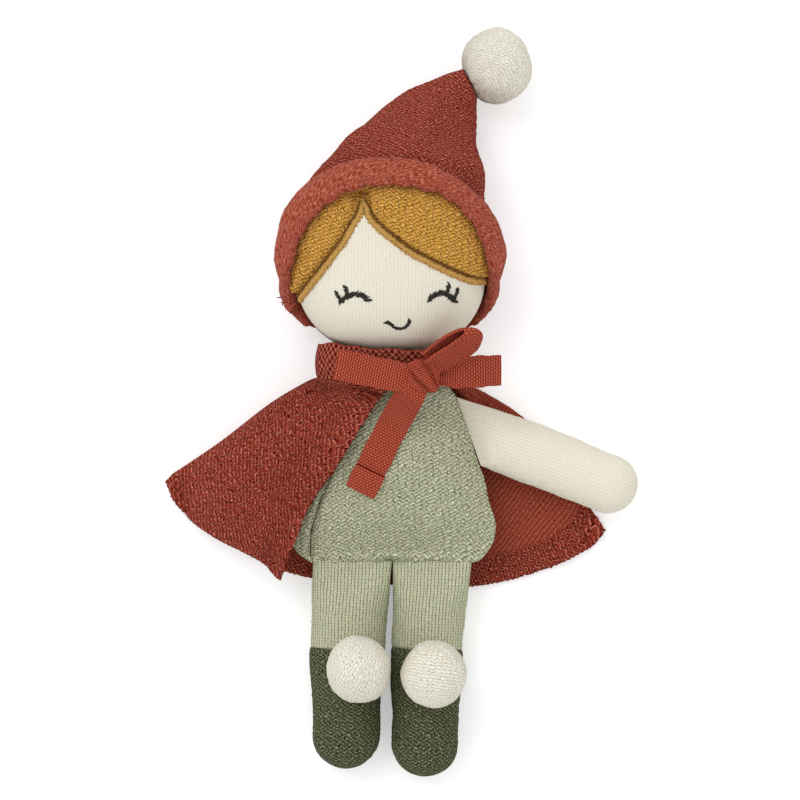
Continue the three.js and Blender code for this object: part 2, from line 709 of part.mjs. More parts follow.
function add(name, solid, color, roughness = 0.95) {
  const { vertProperties, triVerts } = solid.getMesh();
  const geometry = new THREE.BufferGeometry();
  geometry.setAttribute('position', new THREE.BufferAttribute(vertProperties, 3));
  geometry.setIndex(new THREE.BufferAttribute(triVerts, 1));
  geometry.computeVertexNormals();
  const material = new THREE.MeshStandardMaterial({ color, roughness, metalness: 0 });
  const mesh = new THREE.Mesh(geometry, material);
  mesh.name = name;
  doll.add(mesh);
}

const tunic = makeTunic();
add('tunic_front', tunic.front, colors.tunic);
add('tunic_back', tunic.back, colors.tunic);
add('tunic_filling', tunic.filling, colors.filling);

const head = makeHead();
add('neck', head.neck, colors.jersey);
add('face', head.face, colors.jersey);
add('head_back', head.back, colors.hair);
add('head_filling', head.filling, colors.filling);
for (const [name, outline] of Object.entries(hairOutlines)) add(name, makeHair(outline), colors.hair);

const hat = makeHat();
add('hat_cone', hat.cone, colors.rust);
add('hat_filling', hat.filling, colors.filling);
add('hat_brim', hat.brim, colors.brim);

const toTip = point(-tipAcross.y, tipAcross.x, 0);
const hatBall = pompom(
  hatPompomRadius,
  tipMiddle.clone()
    .addScaledVector(toTip, Math.sqrt(hatPompomRadius ** 2 - hatTipHalf ** 2) + gap)
    .setZ(hatPompomRadius - flattened),
  toTip.clone().negate(),
);
add('hat_pompom', rest(hatBall.shell), colors.pompom);
add('hat_pompom_filling', rest(hatBall.core).intersect(slab('z', skin, far)), colors.filling);

for (const [side, arm] of Object.entries({ left: leftArm, right: rightArm })) {
  const { shell, filling } = makeLimb(arm);
  add(`arm_${side}`, shell, colors.jersey);
  add(`arm_${side}_filling`, filling, colors.filling);
}

for (const [side, leg] of Object.entries(legs)) {
  const { shell, filling } = makeLimb(leg.limb);
  add(`leg_${side}`, shell.intersect(slab('y', bootTopY + gap / 2, far)), colors.leg);
  add(`boot_${side}`, shell.intersect(slab('y', -far, bootTopY - gap / 2)), colors.boot);
  add(`leg_${side}_filling`, filling, colors.filling);
  const ball = pompom(bootPompomRadius, leg.onBoot, point(0, 0, -1));
  const grown = limbForm(leg.limb, { inset: -gap });
  add(`boot_${side}_pompom`, ball.shell.subtract(grown), colors.pompom);
  add(`boot_${side}_pompom_filling`, ball.core.subtract(grown), colors.filling);
}

add('collar', collarForm(0), colors.rust);
add('cape', makeCape(), colors.rust);
add('bow_knot', makeKnot(), colors.tape);
add('bow_loop_left', tapeLoop(
  knot.clone().add(point(-knotHalf - 2 * gap, 0, 0)),
  point(-0.98, 0.17, -0.08),
  point(0.17, 0.98, 0),
  loopLength,
  loopHeight,
), colors.tape);
add('bow_loop_right', tapeLoop(
  knot.clone().add(point(knotHalf * 0.7 + gap, knotHalf + gap, 2.5)),
  point(0.79, 0.57, 0.22),
  point(-0.41, 0.57, 0.71),
  openLoopLength,
  openLoopHeight,
), colors.tape);
add('bow_tail_left', makeHangingTail(), colors.tape);
add('bow_tail_right', makeSideTail(), colors.tape);

// The origin is under the middle of the doll, on the floor.
const box = new THREE.Box3().setFromObject(doll);
const middle = box.getCenter(new THREE.Vector3());
doll.position.set(-middle.x, -middle.y, -box.min.z);

export default doll;
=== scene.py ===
# The looks of a stuffed elf doll that lies on its back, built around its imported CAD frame.
# Lengths are millimetres in the doll's own frame: x across it, y from feet to hat, z up from the floor.
# x = 0 is the middle of the body and y = 0 the top of the arm seams. Left and right are as seen from above.

import json
import math

import bpy
import numpy as np
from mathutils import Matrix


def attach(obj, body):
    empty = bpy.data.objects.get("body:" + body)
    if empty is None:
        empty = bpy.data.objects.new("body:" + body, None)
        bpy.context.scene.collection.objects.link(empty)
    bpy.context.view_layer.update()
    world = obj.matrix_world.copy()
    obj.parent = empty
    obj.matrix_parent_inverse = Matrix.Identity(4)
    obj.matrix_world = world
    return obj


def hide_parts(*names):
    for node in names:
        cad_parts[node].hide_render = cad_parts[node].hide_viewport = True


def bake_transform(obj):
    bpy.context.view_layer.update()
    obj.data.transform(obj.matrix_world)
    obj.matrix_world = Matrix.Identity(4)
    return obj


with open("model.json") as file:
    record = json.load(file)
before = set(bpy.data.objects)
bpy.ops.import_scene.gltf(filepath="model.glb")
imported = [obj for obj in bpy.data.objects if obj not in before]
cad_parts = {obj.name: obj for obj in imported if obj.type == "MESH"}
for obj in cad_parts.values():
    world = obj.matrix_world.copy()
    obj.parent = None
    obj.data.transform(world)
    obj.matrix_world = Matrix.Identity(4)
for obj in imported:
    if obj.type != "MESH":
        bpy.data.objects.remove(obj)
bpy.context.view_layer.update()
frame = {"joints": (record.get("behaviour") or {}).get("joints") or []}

# Sizes shared with the CAD source
GAP = 0.3
SEAM_HALF = 1.35
REST_Z = 1.8
TUNIC_MID, TUNIC_FRONT, TUNIC_TOP = 14.0, 15.0, 15.0
SHOULDER_Y, WAIST_Y, HEM_Y = 1.0, -22.0, -53.0
SHOULDER_HALF, WAIST_HALF, HEM_HALF, NECK_HALF = 21.0, 29.2, 34.0, 12.0
FOLD_Z = TUNIC_MID + SEAM_HALF
HEAD = np.array([-0.5, 47.1, 21.0])
HEAD_HALF, HEAD_TALL, HEAD_FRONT, HEAD_BACK, HEAD_ROUND = 32.0, 31.8, 25.0, 20.0, 2.4
BRIM_RISE, BRIM_DROP, BRIM_LEAD = math.radians(21), math.radians(55), 12.0
ARM_HALF, ARM_DEEP = 10.0, 18.0
LEG_SEAM_HALF = 13.1
BOOT_TOP_Y = -82.8
KNOT = np.array([9.9, 8.9, 40.4])

# Millimetres for each pixel of the photograph, from the bow's 10 mm tape
PIXEL = 0.3311

# The doll's frame inside the row's frame, from the left hip's place, in millimetres
hip = next(j for j in frame["joints"] if j["name"] == "hip_left")["pos_m"]
ORIGIN = np.array([hip[0] * 1000 + LEG_SEAM_HALF + GAP, hip[1] * 1000 - (HEM_Y - GAP / 2), 0.0])


def metres(points):
    return (np.asarray(points, float) + ORIGIN) / 1000


# Small maths


def mix(a, b, t):
    return a + (b - a) * t


def smooth(t):
    t = np.clip(t, 0, 1)
    return t * t * (3 - 2 * t)


def bump(t, centre, half):
    """1 at centre, falling smoothly to about a third at half away from it."""
    return np.exp(-(((np.asarray(t) - centre) / half) ** 2))


def unit(v):
    v = np.asarray(v, float)
    return v / np.maximum(np.linalg.norm(v, axis=-1, keepdims=True), 1e-9)


def signed_power(value, power):
    return np.sign(value) * np.abs(value) ** power


def circle(count):
    """Angles evenly spaced round a full turn, without its end."""
    return np.linspace(0, 2 * np.pi, count, endpoint=False)


def xyz(*parts):
    """Places from their coordinates, each a number or an array."""
    return np.stack(np.broadcast_arrays(*parts), -1)


def on_floor(places):
    """Places (x, y) as places at height 0."""
    return [(x, y, 0) for x, y in places]


def walked(line):
    """How far along its line each point is. Each column of a grid is a line of its own."""
    steps = np.linalg.norm(np.diff(np.asarray(line, float), axis=0), axis=-1)
    return np.concatenate([np.zeros((1, *steps.shape[1:])), np.cumsum(steps, axis=0)])


def interpolated(at, places, values):
    """Rows of values, which are given at places, as they are at other places between those."""
    return xyz(*(np.interp(at, places, part) for part in values.T))


def keep_above(grid, height):
    grid[..., 2] = np.maximum(grid[..., 2], height)


def closed(grid):
    """A grid of rings with its first column again at the end."""
    return np.concatenate([grid, grid[:, :1]], axis=1)


def spline(points, at):
    """Points of a centripetal Catmull-Rom line through points, at shares from 0 to 1."""
    p = np.asarray(points, float)
    p = np.vstack([2 * p[0] - p[1], p, 2 * p[-1] - p[-2]])
    at = np.asarray(at, float) * (len(points) - 1)
    i = np.clip(np.floor(at).astype(int), 0, len(points) - 2)
    w = (at - i)[:, None]
    p0, p1, p2, p3 = p[i], p[i + 1], p[i + 2], p[i + 3]
    d0, d1, d2 = (
        np.maximum(np.linalg.norm(b - a, axis=1), 1e-6)[:, None] ** 0.5
        for a, b in ((p0, p1), (p1, p2), (p2, p3))
    )
    t1 = ((p1 - p0) / d0 - (p2 - p0) / (d0 + d1) + (p2 - p1) / d1) * d1
    t2 = ((p2 - p1) / d1 - (p3 - p1) / (d1 + d2) + (p3 - p2) / d2) * d1
    return (
        (2 * w**3 - 3 * w**2 + 1) * p1
        + (w**3 - 2 * w**2 + w) * t1
        + (3 * w**2 - 2 * w**3) * p2
        + (w**3 - w**2) * t2
    )


def resample(line, count):
    line = np.asarray(line, float)
    length = walked(line)
    return interpolated(np.linspace(0, length[-1], count), length, line)


def even(points, count):
    """The smooth line through points, as count points spaced evenly along it."""
    return resample(spline(points, np.linspace(0, 1, 40 * len(points))), count)


def length_of(line):
    return float(np.linalg.norm(np.diff(np.asarray(line), axis=0), axis=1).sum())


def tangents(line):
    return unit(np.gradient(np.asarray(line, float), axis=0))


def line_distance(x, y, line):
    """How far places are from a broken line, seen from above."""
    best = np.full(np.broadcast(x, y).shape, 1e9)
    for (x0, y0), (x1, y1) in zip(line, line[1:]):
        dx, dy = x1 - x0, y1 - y0
        t = np.clip(((x - x0) * dx + (y - y0) * dy) / (dx * dx + dy * dy), 0, 1)
        best = np.minimum(best, np.hypot(x - x0 - t * dx, y - y0 - t * dy))
    return best


def lumps(points, size, seed):
    """A smooth uneven value from about -1 to 1 at each point, with features of that size."""
    rng = np.random.default_rng(seed)
    total = np.zeros(np.asarray(points).shape[:-1])
    for _ in range(7):
        way = unit(rng.normal(size=3)) * rng.uniform(0.7, 1.4) * 2 * np.pi / (size * 2)
        total = total + np.sin(points @ way + rng.uniform(0, 6.28))
    return total / 3.2


def normals_of(grid, wrap=False):
    """The way out of a grid of points, by the turn from its rows to its columns."""
    if wrap:
        across = (np.roll(grid, -1, axis=1) - np.roll(grid, 1, axis=1)) / 2
    else:
        across = np.gradient(grid, axis=1)
    return unit(np.cross(np.gradient(grid, axis=0), across))


# Uvs in millimetres. A tube of rings has its seam at column 0, and its pattern starts opposite the seam.


def ring_uv(grid):
    """Uvs of a limb: u round each ring and v along the column opposite the seam, from the first ring."""
    middle = grid.shape[1] // 2
    u = walked(closed(grid).swapaxes(0, 1)).T
    return xyz(u - u[:, middle : middle + 1], walked(grid[:, middle])[:, None])


def seen_uv(grid, squash=0.9):
    """Uvs of a tube of rings that keep a pattern level as seen from above: v is the way along y and z from
    the last ring's y, and u goes round each ring from its middle's x, with heights counted by squash."""
    ring = closed(grid)
    step = np.diff(ring, axis=0)
    fall = np.hypot(step[..., 1], step[..., 2])
    v = ring[-1, :, 1] - np.pad(np.cumsum(fall[::-1], axis=0)[::-1], ((0, 1), (0, 0)))
    step = np.diff(ring, axis=1)
    u = np.pad(np.cumsum(np.hypot(step[..., 0], squash * step[..., 2]), axis=1), ((0, 0), (1, 0)))
    middle = grid.shape[1] // 2
    return xyz(u - u[:, middle : middle + 1] - grid[:, middle, :1], v)


def cap_uv(grid):
    """Uvs of a cap: real distances from its pole, in the direction seen from above."""
    ring = closed(grid)
    return unit(ring[..., :2] - ring[0].mean(axis=0)[:2]) * walked(ring)[..., None]


# Meshes


def make_mesh(name, points, faces, uvs, materials, index=None):
    """A smooth mesh of points in doll millimetres. uvs holds one pair for each corner of each face."""
    mesh = bpy.data.meshes.new(name)
    mesh.from_pydata(metres(points).tolist(), [], [tuple(f) for f in faces])
    layer = mesh.uv_layers.new(name="UVMap")
    layer.data.foreach_set("uv", np.asarray(uvs, np.float32).ravel())
    mesh.polygons.foreach_set("use_smooth", [True] * len(mesh.polygons))
    for material in materials:
        mesh.materials.append(material)
    if index is not None:
        mesh.polygons.foreach_set("material_index", np.asarray(index, np.int32))
    mesh.update()
    obj = bpy.data.objects.new(name, mesh)
    bpy.context.scene.collection.objects.link(obj)
    return obj


def quads(rows, columns, wrap=False, loop=False):
    """Corners (row, column) of each quad; wrapped ones run one past the end, for their uvs."""
    down = np.arange(rows if loop else rows - 1)
    right = np.arange(columns if wrap else columns - 1)
    i, j = (part.ravel() for part in np.meshgrid(down, right, indexing="ij"))
    return np.stack([xyz(i, j), xyz(i + 1, j), xyz(i + 1, j + 1), xyz(i, j + 1)], 1)


def surface(name, grid, uv, materials, wrap=False, loop=False, caps=(False, False), flip=False):
    """A surface over a grid of points. uv has one more column where it wraps and one more row where it
    loops. caps close its first and last ring with a fan."""
    grid = np.asarray(grid, float)
    rows, columns = grid.shape[:2]
    corner = quads(rows, columns, wrap, loop)
    faces = ((corner[..., 0] % rows) * columns + corner[..., 1] % columns).tolist()
    face_uvs = uv[corner[..., 0], corner[..., 1]].tolist()
    points = grid.reshape(-1, 3).tolist()
    for row, way, on in ((0, -1, caps[0]), (rows - 1, 1, caps[1])):
        if not on:
            continue
        centre = grid[row].mean(axis=0)
        inset = way * np.linalg.norm(grid[row, 0] - centre)
        for j in range(columns):
            ends = [row * columns + j, row * columns + (j + 1) % columns][::-way]
            end_uvs = [uv[row, j], uv[row, j + 1]]
            faces.append([len(points), *ends])
            face_uvs.append([sum(end_uvs) / 2 + [0, inset], *end_uvs[::-way]])
        points.append(centre.tolist())
    if flip:
        faces = [f[::-1] for f in faces]
        face_uvs = [f[::-1] for f in face_uvs]
    uvs = np.array([pair for face in face_uvs for pair in face])
    return make_mesh(name, np.array(points), faces, uvs, materials)


def cloth(name, grid, uv, materials, above, below, band_row=None):
    """A sheet with thickness: above and below are each a number or one for each point. materials are of the
    side where the grid's normals point and of the other, which also covers a band from band_row on."""
    grid = np.asarray(grid, float)
    rows, columns = grid.shape[:2]
    normal = normals_of(grid)
    upper = grid + normal * np.broadcast_to(above, (rows, columns))[..., None]
    lower = grid - normal * np.broadcast_to(below, (rows, columns))[..., None]
    corner = quads(rows, columns)
    number = corner[..., 0] * columns + corner[..., 1]
    corner_uvs = uv[corner[..., 0], corner[..., 1]]
    under = rows * columns
    faces = [*number.tolist(), *(number[:, ::-1] + under).tolist()]
    face_uvs = [*corner_uvs.tolist(), *corner_uvs[:, ::-1].tolist()]
    back = len(materials) - 1
    banded = band_row is not None
    index = [back if banded and row >= band_row else 0 for row in corner[:, 0, 0]] + [back] * len(number)
    edge = [(0, j) for j in range(columns)]
    edge += [(i, columns - 1) for i in range(1, rows)]
    edge += [(rows - 1, j) for j in range(columns - 2, -1, -1)]
    edge += [(i, 0) for i in range(rows - 2, 0, -1)]
    for (i0, j0), (i1, j1) in zip(edge, edge[1:] + edge[:1]):
        a, b = i0 * columns + j0, i1 * columns + j1
        faces.append([a, b, under + b, under + a])
        face_uvs.append([uv[i0, j0], uv[i1, j1], uv[i1, j1], uv[i0, j0]])
        index.append(back)
    points = np.vstack([upper.reshape(-1, 3), lower.reshape(-1, 3)])
    uvs = np.array([pair for face in face_uvs for pair in face])
    return make_mesh(name, points, faces, uvs, materials, index)


def thicken(obj, thickness, offset):
    modifier = obj.modifiers.new("thickness", "SOLIDIFY")
    modifier.thickness = thickness / 1000
    modifier.offset = offset


def tube_between(a, b, arch, radius, sides=6, parts=4):
    """Rings of a thin thread from a to b that rises by arch on its way."""
    t = np.linspace(0, 1, parts + 1)
    line = a + (b - a) * t[:, None] + arch * (4 * t * (1 - t))[:, None]
    way = tangents(line)
    side = unit(np.cross(way, unit(arch) + 1e-4))
    up = np.cross(side, way)
    fat = radius * (0.45 + 0.55 * np.sin(np.pi * np.clip(t * 0.9 + 0.05, 0, 1)) ** 0.5)
    turn = circle(sides)[None, :, None]
    return line[:, None] + fat[:, None, None] * (np.cos(turn) * side[:, None] + np.sin(turn) * up[:, None])


def threads(name, pieces, material):
    """One mesh of many short threads, each given as rings of points."""
    points, faces, uvs = [], [], []
    for n, rings in enumerate(pieces):
        rows, sides = rings.shape[:2]
        start = len(points)
        points.extend(rings.reshape(-1, 3).tolist())
        first = n * 1.7
        along = np.linspace(0, length_of(rings[:, 0]), rows)
        for i in range(rows - 1):
            for j in range(sides):
                a, b = start + i * sides + j, start + i * sides + (j + 1) % sides
                faces.append([a, b, b + sides, a + sides])
                u0, u1 = first + j / sides, first + (j + 1) / sides
                uvs += [[u0, along[i]], [u1, along[i]], [u1, along[i + 1]], [u0, along[i + 1]]]
        for row, order in ((0, -1), (rows - 1, 1)):
            faces.append([start + row * sides + j for j in range(sides)][::order])
            uvs += [[first, along[row]]] * sides
    return make_mesh(name, np.array(points), faces, np.array(uvs), [material])


def stitches(line, out, width, spacing, radius, seed, slant=0.25, arch=0.35, ragged=0.12):
    """Satin stitches side by side across a line that lies on a surface; out is the way out of it."""
    rng = np.random.default_rng(seed)
    count = max(3, int(length_of(line) / spacing))
    line, out = resample(line, count), unit(resample(out, count))
    way = tangents(line)
    side = unit(np.cross(out, way))
    found = []
    for n in range(count):
        half = width / 2 * (1 + rng.uniform(-ragged, ragged))
        shift = rng.uniform(-ragged, ragged) * width / 3
        lean = way[n] * width * slant
        a = line[n] + side[n] * (shift - half) - lean - out[n] * 0.15
        b = line[n] + side[n] * (shift + half) + lean - out[n] * 0.15
        found.append(tube_between(a, b, out[n] * arch, radius))
    return found


# Materials


def linear(code):
    """A colour written as a screen shows it, as Blender wants it."""
    parts = [int(code[i : i + 2], 16) / 255 for i in (1, 3, 5)]
    return [c / 12.92 if c <= 0.04045 else ((c + 0.055) / 1.055) ** 2.4 for c in parts]


class Value:
    """A node's output. Arithmetic with it adds Math nodes."""

    def __init__(self, shader, socket):
        self.shader = shader
        self.socket = socket

    def of(self, operation, *values):
        return self.shader.math(operation, self, *values)

    def __add__(self, other):
        return self.of("ADD", other)

    def __sub__(self, other):
        return self.of("SUBTRACT", other)

    def __rsub__(self, other):
        return self.shader.math("SUBTRACT", other, self)

    def __mul__(self, other):
        return self.of("MULTIPLY", other)

    def __truediv__(self, other):
        return self.of("DIVIDE", other)

    def __pow__(self, other):
        return self.of("POWER", other)

    def __abs__(self):
        return self.of("ABSOLUTE")

    __radd__ = __add__
    __rmul__ = __mul__

    def ramp(self, low, high):
        """0 below low and 1 above high, smooth between them."""
        node = self.shader.node("ShaderNodeMapRange", Value=self)
        node.interpolation_type = "SMOOTHSTEP"
        node.inputs["From Min"].default_value = low
        node.inputs["From Max"].default_value = high
        return Value(self.shader, node.outputs["Result"])


class Shader:
    """A material of one Principled shader, and short ways to add the nodes of its colour and relief."""

    def __init__(self, name, roughness=0.95, sheen=0.0, specular=0.06):
        self.material = bpy.data.materials.new(name)
        self.material.use_nodes = True
        self.tree = self.material.node_tree
        self.tree.nodes.clear()
        self.surface = self.node("ShaderNodeBsdfPrincipled")
        output = self.node("ShaderNodeOutputMaterial")
        self.tree.links.new(self.surface.outputs["BSDF"], output.inputs["Surface"])
        self.surface.inputs["Roughness"].default_value = roughness
        self.surface.inputs["Sheen Weight"].default_value = sheen
        self.surface.inputs["Sheen Roughness"].default_value = 0.4
        self.surface.inputs["Specular IOR Level"].default_value = specular
        coords = self.node("ShaderNodeUVMap")
        coords.uv_map = "UVMap"
        split = self.node("ShaderNodeSeparateXYZ", Vector=Value(self, coords.outputs["UV"]))
        self.u = Value(self, split.outputs["X"])
        self.v = Value(self, split.outputs["Y"])

    def node(self, kind, **inputs):
        node = self.tree.nodes.new(kind)
        for name, value in inputs.items():
            self.put(node.inputs[name], value)
        return node

    def put(self, socket, value):
        """Links a node's output to a socket, or sets the socket to a number or a colour."""
        if isinstance(value, Value):
            self.tree.links.new(value.socket, socket)
        else:
            socket.default_value = value

    def math(self, operation, *values):
        node = self.node("ShaderNodeMath")
        node.operation = operation
        for socket, value in zip(node.inputs, values):
            self.put(socket, value)
        return Value(self, node.outputs[0])

    def streaks(self, x, y, wide, long, seed, detail=1.0):
        """Uneven values around 0.5 in streaks of that width and length, long along y."""
        place = Value(self, self.node("ShaderNodeCombineXYZ", X=x / wide, Y=y / long, Z=seed).outputs[0])
        noise = self.node("ShaderNodeTexNoise", Vector=place, Scale=1.0, Detail=detail)
        return Value(self, noise.outputs["Fac"])

    def noise(self, size, detail=2.0, seed=0.0):
        """Uneven values around 0.5 with features of that size in millimetres."""
        return self.streaks(self.u, self.v, size, size, seed, detail)

    def wander(self, size, span, seed, detail=1.0):
        """An uneven value of up to about half of span either way."""
        return (self.noise(size, detail, seed) - 0.5) * span

    def blend(self, share, a, b):
        node = self.node("ShaderNodeMix")
        node.data_type = "RGBA"
        self.put(node.inputs["Factor"], share)
        for socket, value in zip([s for s in node.inputs if s.type == "RGBA"], (a, b)):
            self.put(socket, value if isinstance(value, Value) else [*value, 1.0])
        return Value(self, next(s for s in node.outputs if s.type == "RGBA"))

    def color(self, value):
        self.put(self.surface.inputs["Base Color"], value)

    def paint(self, highlight_share, deep, tones):
        """Colours the surface from its dark, base and light tones: the base, uneven as fibres and wear are,
        turns to the light tone, a painted highlight, by the first share and to the dark tone, painted shade,
        by the second."""
        dark, base, highlight_tone = (linear(tone) for tone in tones)
        fine = self.blend(self.noise(0.42, 2, 3.0), [c * 0.8 for c in base], [c * 1.2 for c in base])
        mottled = self.blend(self.noise(13, 3, 9.0) * 0.35, fine, [c * 1.16 for c in base])
        self.color(self.blend(deep, self.blend(highlight_share, mottled, highlight_tone), dark))

    def relief(self, height, depth):
        """Bumps the surface by its height, from 0 to 1, times depth in millimetres."""
        node = self.node("ShaderNodeBump", Strength=1.0, Distance=depth / 1000, Height=height)
        self.put(self.surface.inputs["Normal"], Value(self, node.outputs["Normal"]))


def wavy_knit(name, *tones, wave=2.35, row=1.3, swing=0.36, depth=0.45, gap_shade=1.0, strand_highlight=1.0):
    """The back of a chunky knit: each row shows one strand that runs in waves, with a painted highlight along
    it that is brighter on the flanks facing the light, and painted shadow in short gaps just below it."""
    s = Shader(name)
    slip = (s.streaks(s.u, s.v, 5.0, 1.3, 23.0) - 0.5) * 2.6
    place = s.u + s.wander(7, 1.4, 1.0, 2) + slip + s.wander(2.1, 1.3, 5.0)
    angle = place * (2 * math.pi / wave)
    swell = 0.35 + s.noise(2.0, 1, 11.0) * 1.5
    zigzag = (angle.of("SINE") + (angle * 2.0).of("SINE") * 0.2) * swell
    level = s.v + (s.wander(9, 1.6, 21.0, 2) + s.wander(1.5, 0.6, 7.0))
    across = ((level + zigzag * swing) / row).of("FRACT")
    # The flank of each wave that faces the light, on which the painted highlight is brighter.
    lit_flank = (angle + 0.5).of("COSINE").ramp(-0.75, 0.7)
    strand = across.ramp(0.1, 0.25) * (1.0 - across.ramp(0.32, 0.47))
    highlight_strength = (0.4 + s.noise(1.1, 1, 17.0).ramp(0.38, 0.56) * 0.6) * (0.7 + lit_flank * 0.4)
    # Painted shadow in the gaps just below each strand, stronger at random spots.
    under = (1.0 - across.ramp(0.0, 0.15)).of("MAXIMUM", across.ramp(0.72, 0.9))
    spots = under * (0.12 + s.noise(0.9, 1, 13.0).ramp(0.4, 0.56)) * (0.6 + lit_flank * 0.6)
    # The painted highlight along the strands and the painted shadow below them go into the colour.
    s.paint((strand * highlight_strength * strand_highlight).of("MINIMUM", 1.0), (spots * gap_shade).of("MINIMUM", 1.0), tones)
    dome = across.ramp(0.0, 0.27) * (1.0 - across.ramp(0.34, 0.95) * 0.8)
    s.relief(dome + (angle.of("COSINE") * 0.1 + s.noise(0.42, 2, 3.0) * 0.35), depth)
    return s.material


def fuzzy_knit(name, *tones, depth=0.3, lean=25):
    """The brushed face of a knit: short slanting strokes, lean degrees from u, under fuzz, with a painted
    highlight on the strokes and painted shade between them.
    """
    s = Shader(name, sheen=0.06)
    c, d = math.cos(math.radians(lean)), math.sin(math.radians(lean))
    across = s.v * c - s.u * d + s.wander(2.4, 0.5, 2.0)
    stroke = s.streaks(across, s.u * c + s.v * d, 0.3, 1.5, 4.0)
    # A painted highlight on the strokes and painted shade between them.
    s.paint(stroke.ramp(0.48, 0.64), (1.0 - stroke.ramp(0.32, 0.48)) * 0.9, tones)
    s.relief(stroke * 1.3 + s.noise(0.4, 2, 3.0) * 0.6, depth)
    return s.material


def jersey(name, *tones, wale=1.15, course=0.95, depth=0.14, gap_shade=1.0):
    """Jersey: columns of small V stitches that run along v, with a painted highlight on the yarn's tops and
    painted shade in the gaps between them.
    """
    s = Shader(name)
    column = (s.u + s.wander(12, 0.9, 1.0, 2)) / wale
    lean = column.of("PINGPONG", 0.5) * (1.5 * course)
    stitch = ((s.v + s.wander(3, 0.3, 4.0) + lean) / course).of("FRACT")
    yarn = (stitch * math.pi).of("SINE").of("MAXIMUM", 0.0) ** 0.8
    groove = abs((column * (2 * math.pi)).of("SINE")) ** 0.5
    between = abs((column * math.pi).of("SINE")) ** 0.6
    height = (0.4 + yarn * 0.6) * (0.5 + groove * 0.5) * (0.2 + between * 0.8)
    fleck = s.noise(1.0, 2, 15.0).ramp(0.36, 0.62)
    uneven = 0.25 * gap_shade + s.noise(1.2, 2, 6.0).ramp(0.32, 0.66) * (0.95 * gap_shade)
    # Painted shade in the holes between stitches, uneven at random.
    hole_shade = ((1.0 - height.ramp(0.08, 0.5)) * uneven).of("MINIMUM", 1.0)
    # The painted highlight on the yarn's tops, flecked at random.
    s.paint(height.ramp(0.5, 0.95) * (0.35 + fleck), hole_shade, tones)
    s.relief(height + s.noise(0.5, 2, 2.0) * 0.25, depth)
    return s.material


def open_knit(name, *tones):
    """A knit that is pulled open: a net of strands round holes, with a painted highlight on the strands and
    painted shade in the holes.
    """
    s = Shader(name)
    a = (s.u + s.wander(2.6, 1.4, 1.0)) * (math.pi / 1.9)
    b = (s.v + s.wander(2.6, 1.2, 2.0)) * (math.pi / 2.3)
    a, b = abs(a.of("COSINE")) ** 2.0, abs(b.of("COSINE")) ** 2.0
    holes = a * b + (1.0 - a) * (1.0 - b)
    s.paint(1.0 - holes.ramp(0.1, 0.4), holes.ramp(0.5, 0.72) * s.noise(2.5, 1, 5.0).ramp(0.2, 0.5), tones)
    s.relief(s.noise(0.42, 2, 3.0) * 0.4 - holes, 0.55)
    return s.material


def woven_tape(name, *tones):
    """Cotton tape: ribs across it, of fat beads that sit half a bead apart from rib to rib."""
    s = Shader(name)
    rib, bead_wide = 0.84, 1.14
    rows = (s.v + s.wander(5, 0.3, 4.0)) / rib
    across = ((s.u + s.wander(4, 0.3, 8.0)) / bead_wide + rows.of("FLOOR") * 0.5).of("FRACT")
    bead = (rows.of("FRACT") * math.pi).of("SINE") ** 0.8 * (across * math.pi).of("SINE") ** 0.5
    height = bead + s.noise(0.5, 2, 2.0) * 0.45
    # A painted highlight on the beads' tops and painted shade between them.
    s.paint(height.ramp(0.85, 1.3), 1.0 - height.ramp(0.25, 0.75), tones)
    s.relief(height, 0.36)
    return s.material


def thread(name, base, highlight_tone):
    """Embroidery thread, twisted, with a little shine: its colour turns lighter along the twist's ridges, a
    painted highlight, and at random.
    """
    s = Shader(name, roughness=0.6, specular=0.25)
    twist = ((s.u * 1.6 + s.v * 3.2) * (2 * math.pi)).of("SINE")
    s.color(s.blend((twist * 0.5 + s.noise(1.3, 1, 2.0)).ramp(0.2, 1.1), linear(base), linear(highlight_tone)))
    s.relief(twist, 0.05)
    return s.material


# Each knit has its dark, base and light tones: the dark one is painted shade and the light one a painted
# highlight. Each thread has its base and painted highlight tones.
CREAM = jersey("cream_jersey", "#cdc5ae", "#e7e1cf", "#f0ebdd", gap_shade=0.75)
CREAM_LIMB = jersey("cream_limb_jersey", "#cac2aa", "#e8e2d0", "#f1ecde", gap_shade=0.75)
SAGE_LEG = jersey("sage_leg_jersey", "#46472f", "#b7b998", "#e8eace", course=1.0, depth=0.35, gap_shade=1.4)
RUST_INSIDE = jersey("rust_inside_knit", "#3c0900", "#973f2c", "#bd6854", wale=1.2, course=1.05, depth=0.3)
SAGE = wavy_knit("sage_chunky_knit", "#62654a", "#bbbd9c", "#eceed4", wave=2.3, swing=0.4, depth=0.5)
GREEN = wavy_knit("green_boot_knit", "#14180a", "#525638", "#9ba184", wave=2.2, swing=0.4, gap_shade=1.15)
RUST = wavy_knit("rust_chunky_knit", "#520a03", "#953d2d", "#d07f6d", wave=2.2, swing=0.4, gap_shade=1.1)
RUST_CAPE = wavy_knit(
    "rust_cape_knit", "#480600", "#903828", "#ce7b6a", row=1.4, wave=2.5, swing=0.46, gap_shade=1.2, strand_highlight=1.1
)
RUST_COLLAR = open_knit("rust_collar_knit", "#520c04", "#984839", "#bb6c5c")
BRIM = fuzzy_knit("brim_fuzzy_knit", "#752817", "#9c4633", "#bf705d")
HAIR = wavy_knit(
    "ochre_hair_knit", "#744609", "#cc933c", "#f8c97a", row=1.2, wave=2.3, swing=0.38, strand_highlight=1.1
)
HAIR_BACK = wavy_knit("ochre_back_knit", "#6a3e06", "#bb8634", "#e2b064", row=1.2, wave=2.3, swing=0.38)
POMPOM = wavy_knit(
    "cream_pompom_knit", "#c2b79c", "#f1ecdc", "#faf7ed", row=1.15, wave=1.9, swing=0.22, depth=0.3, gap_shade=0.8
)
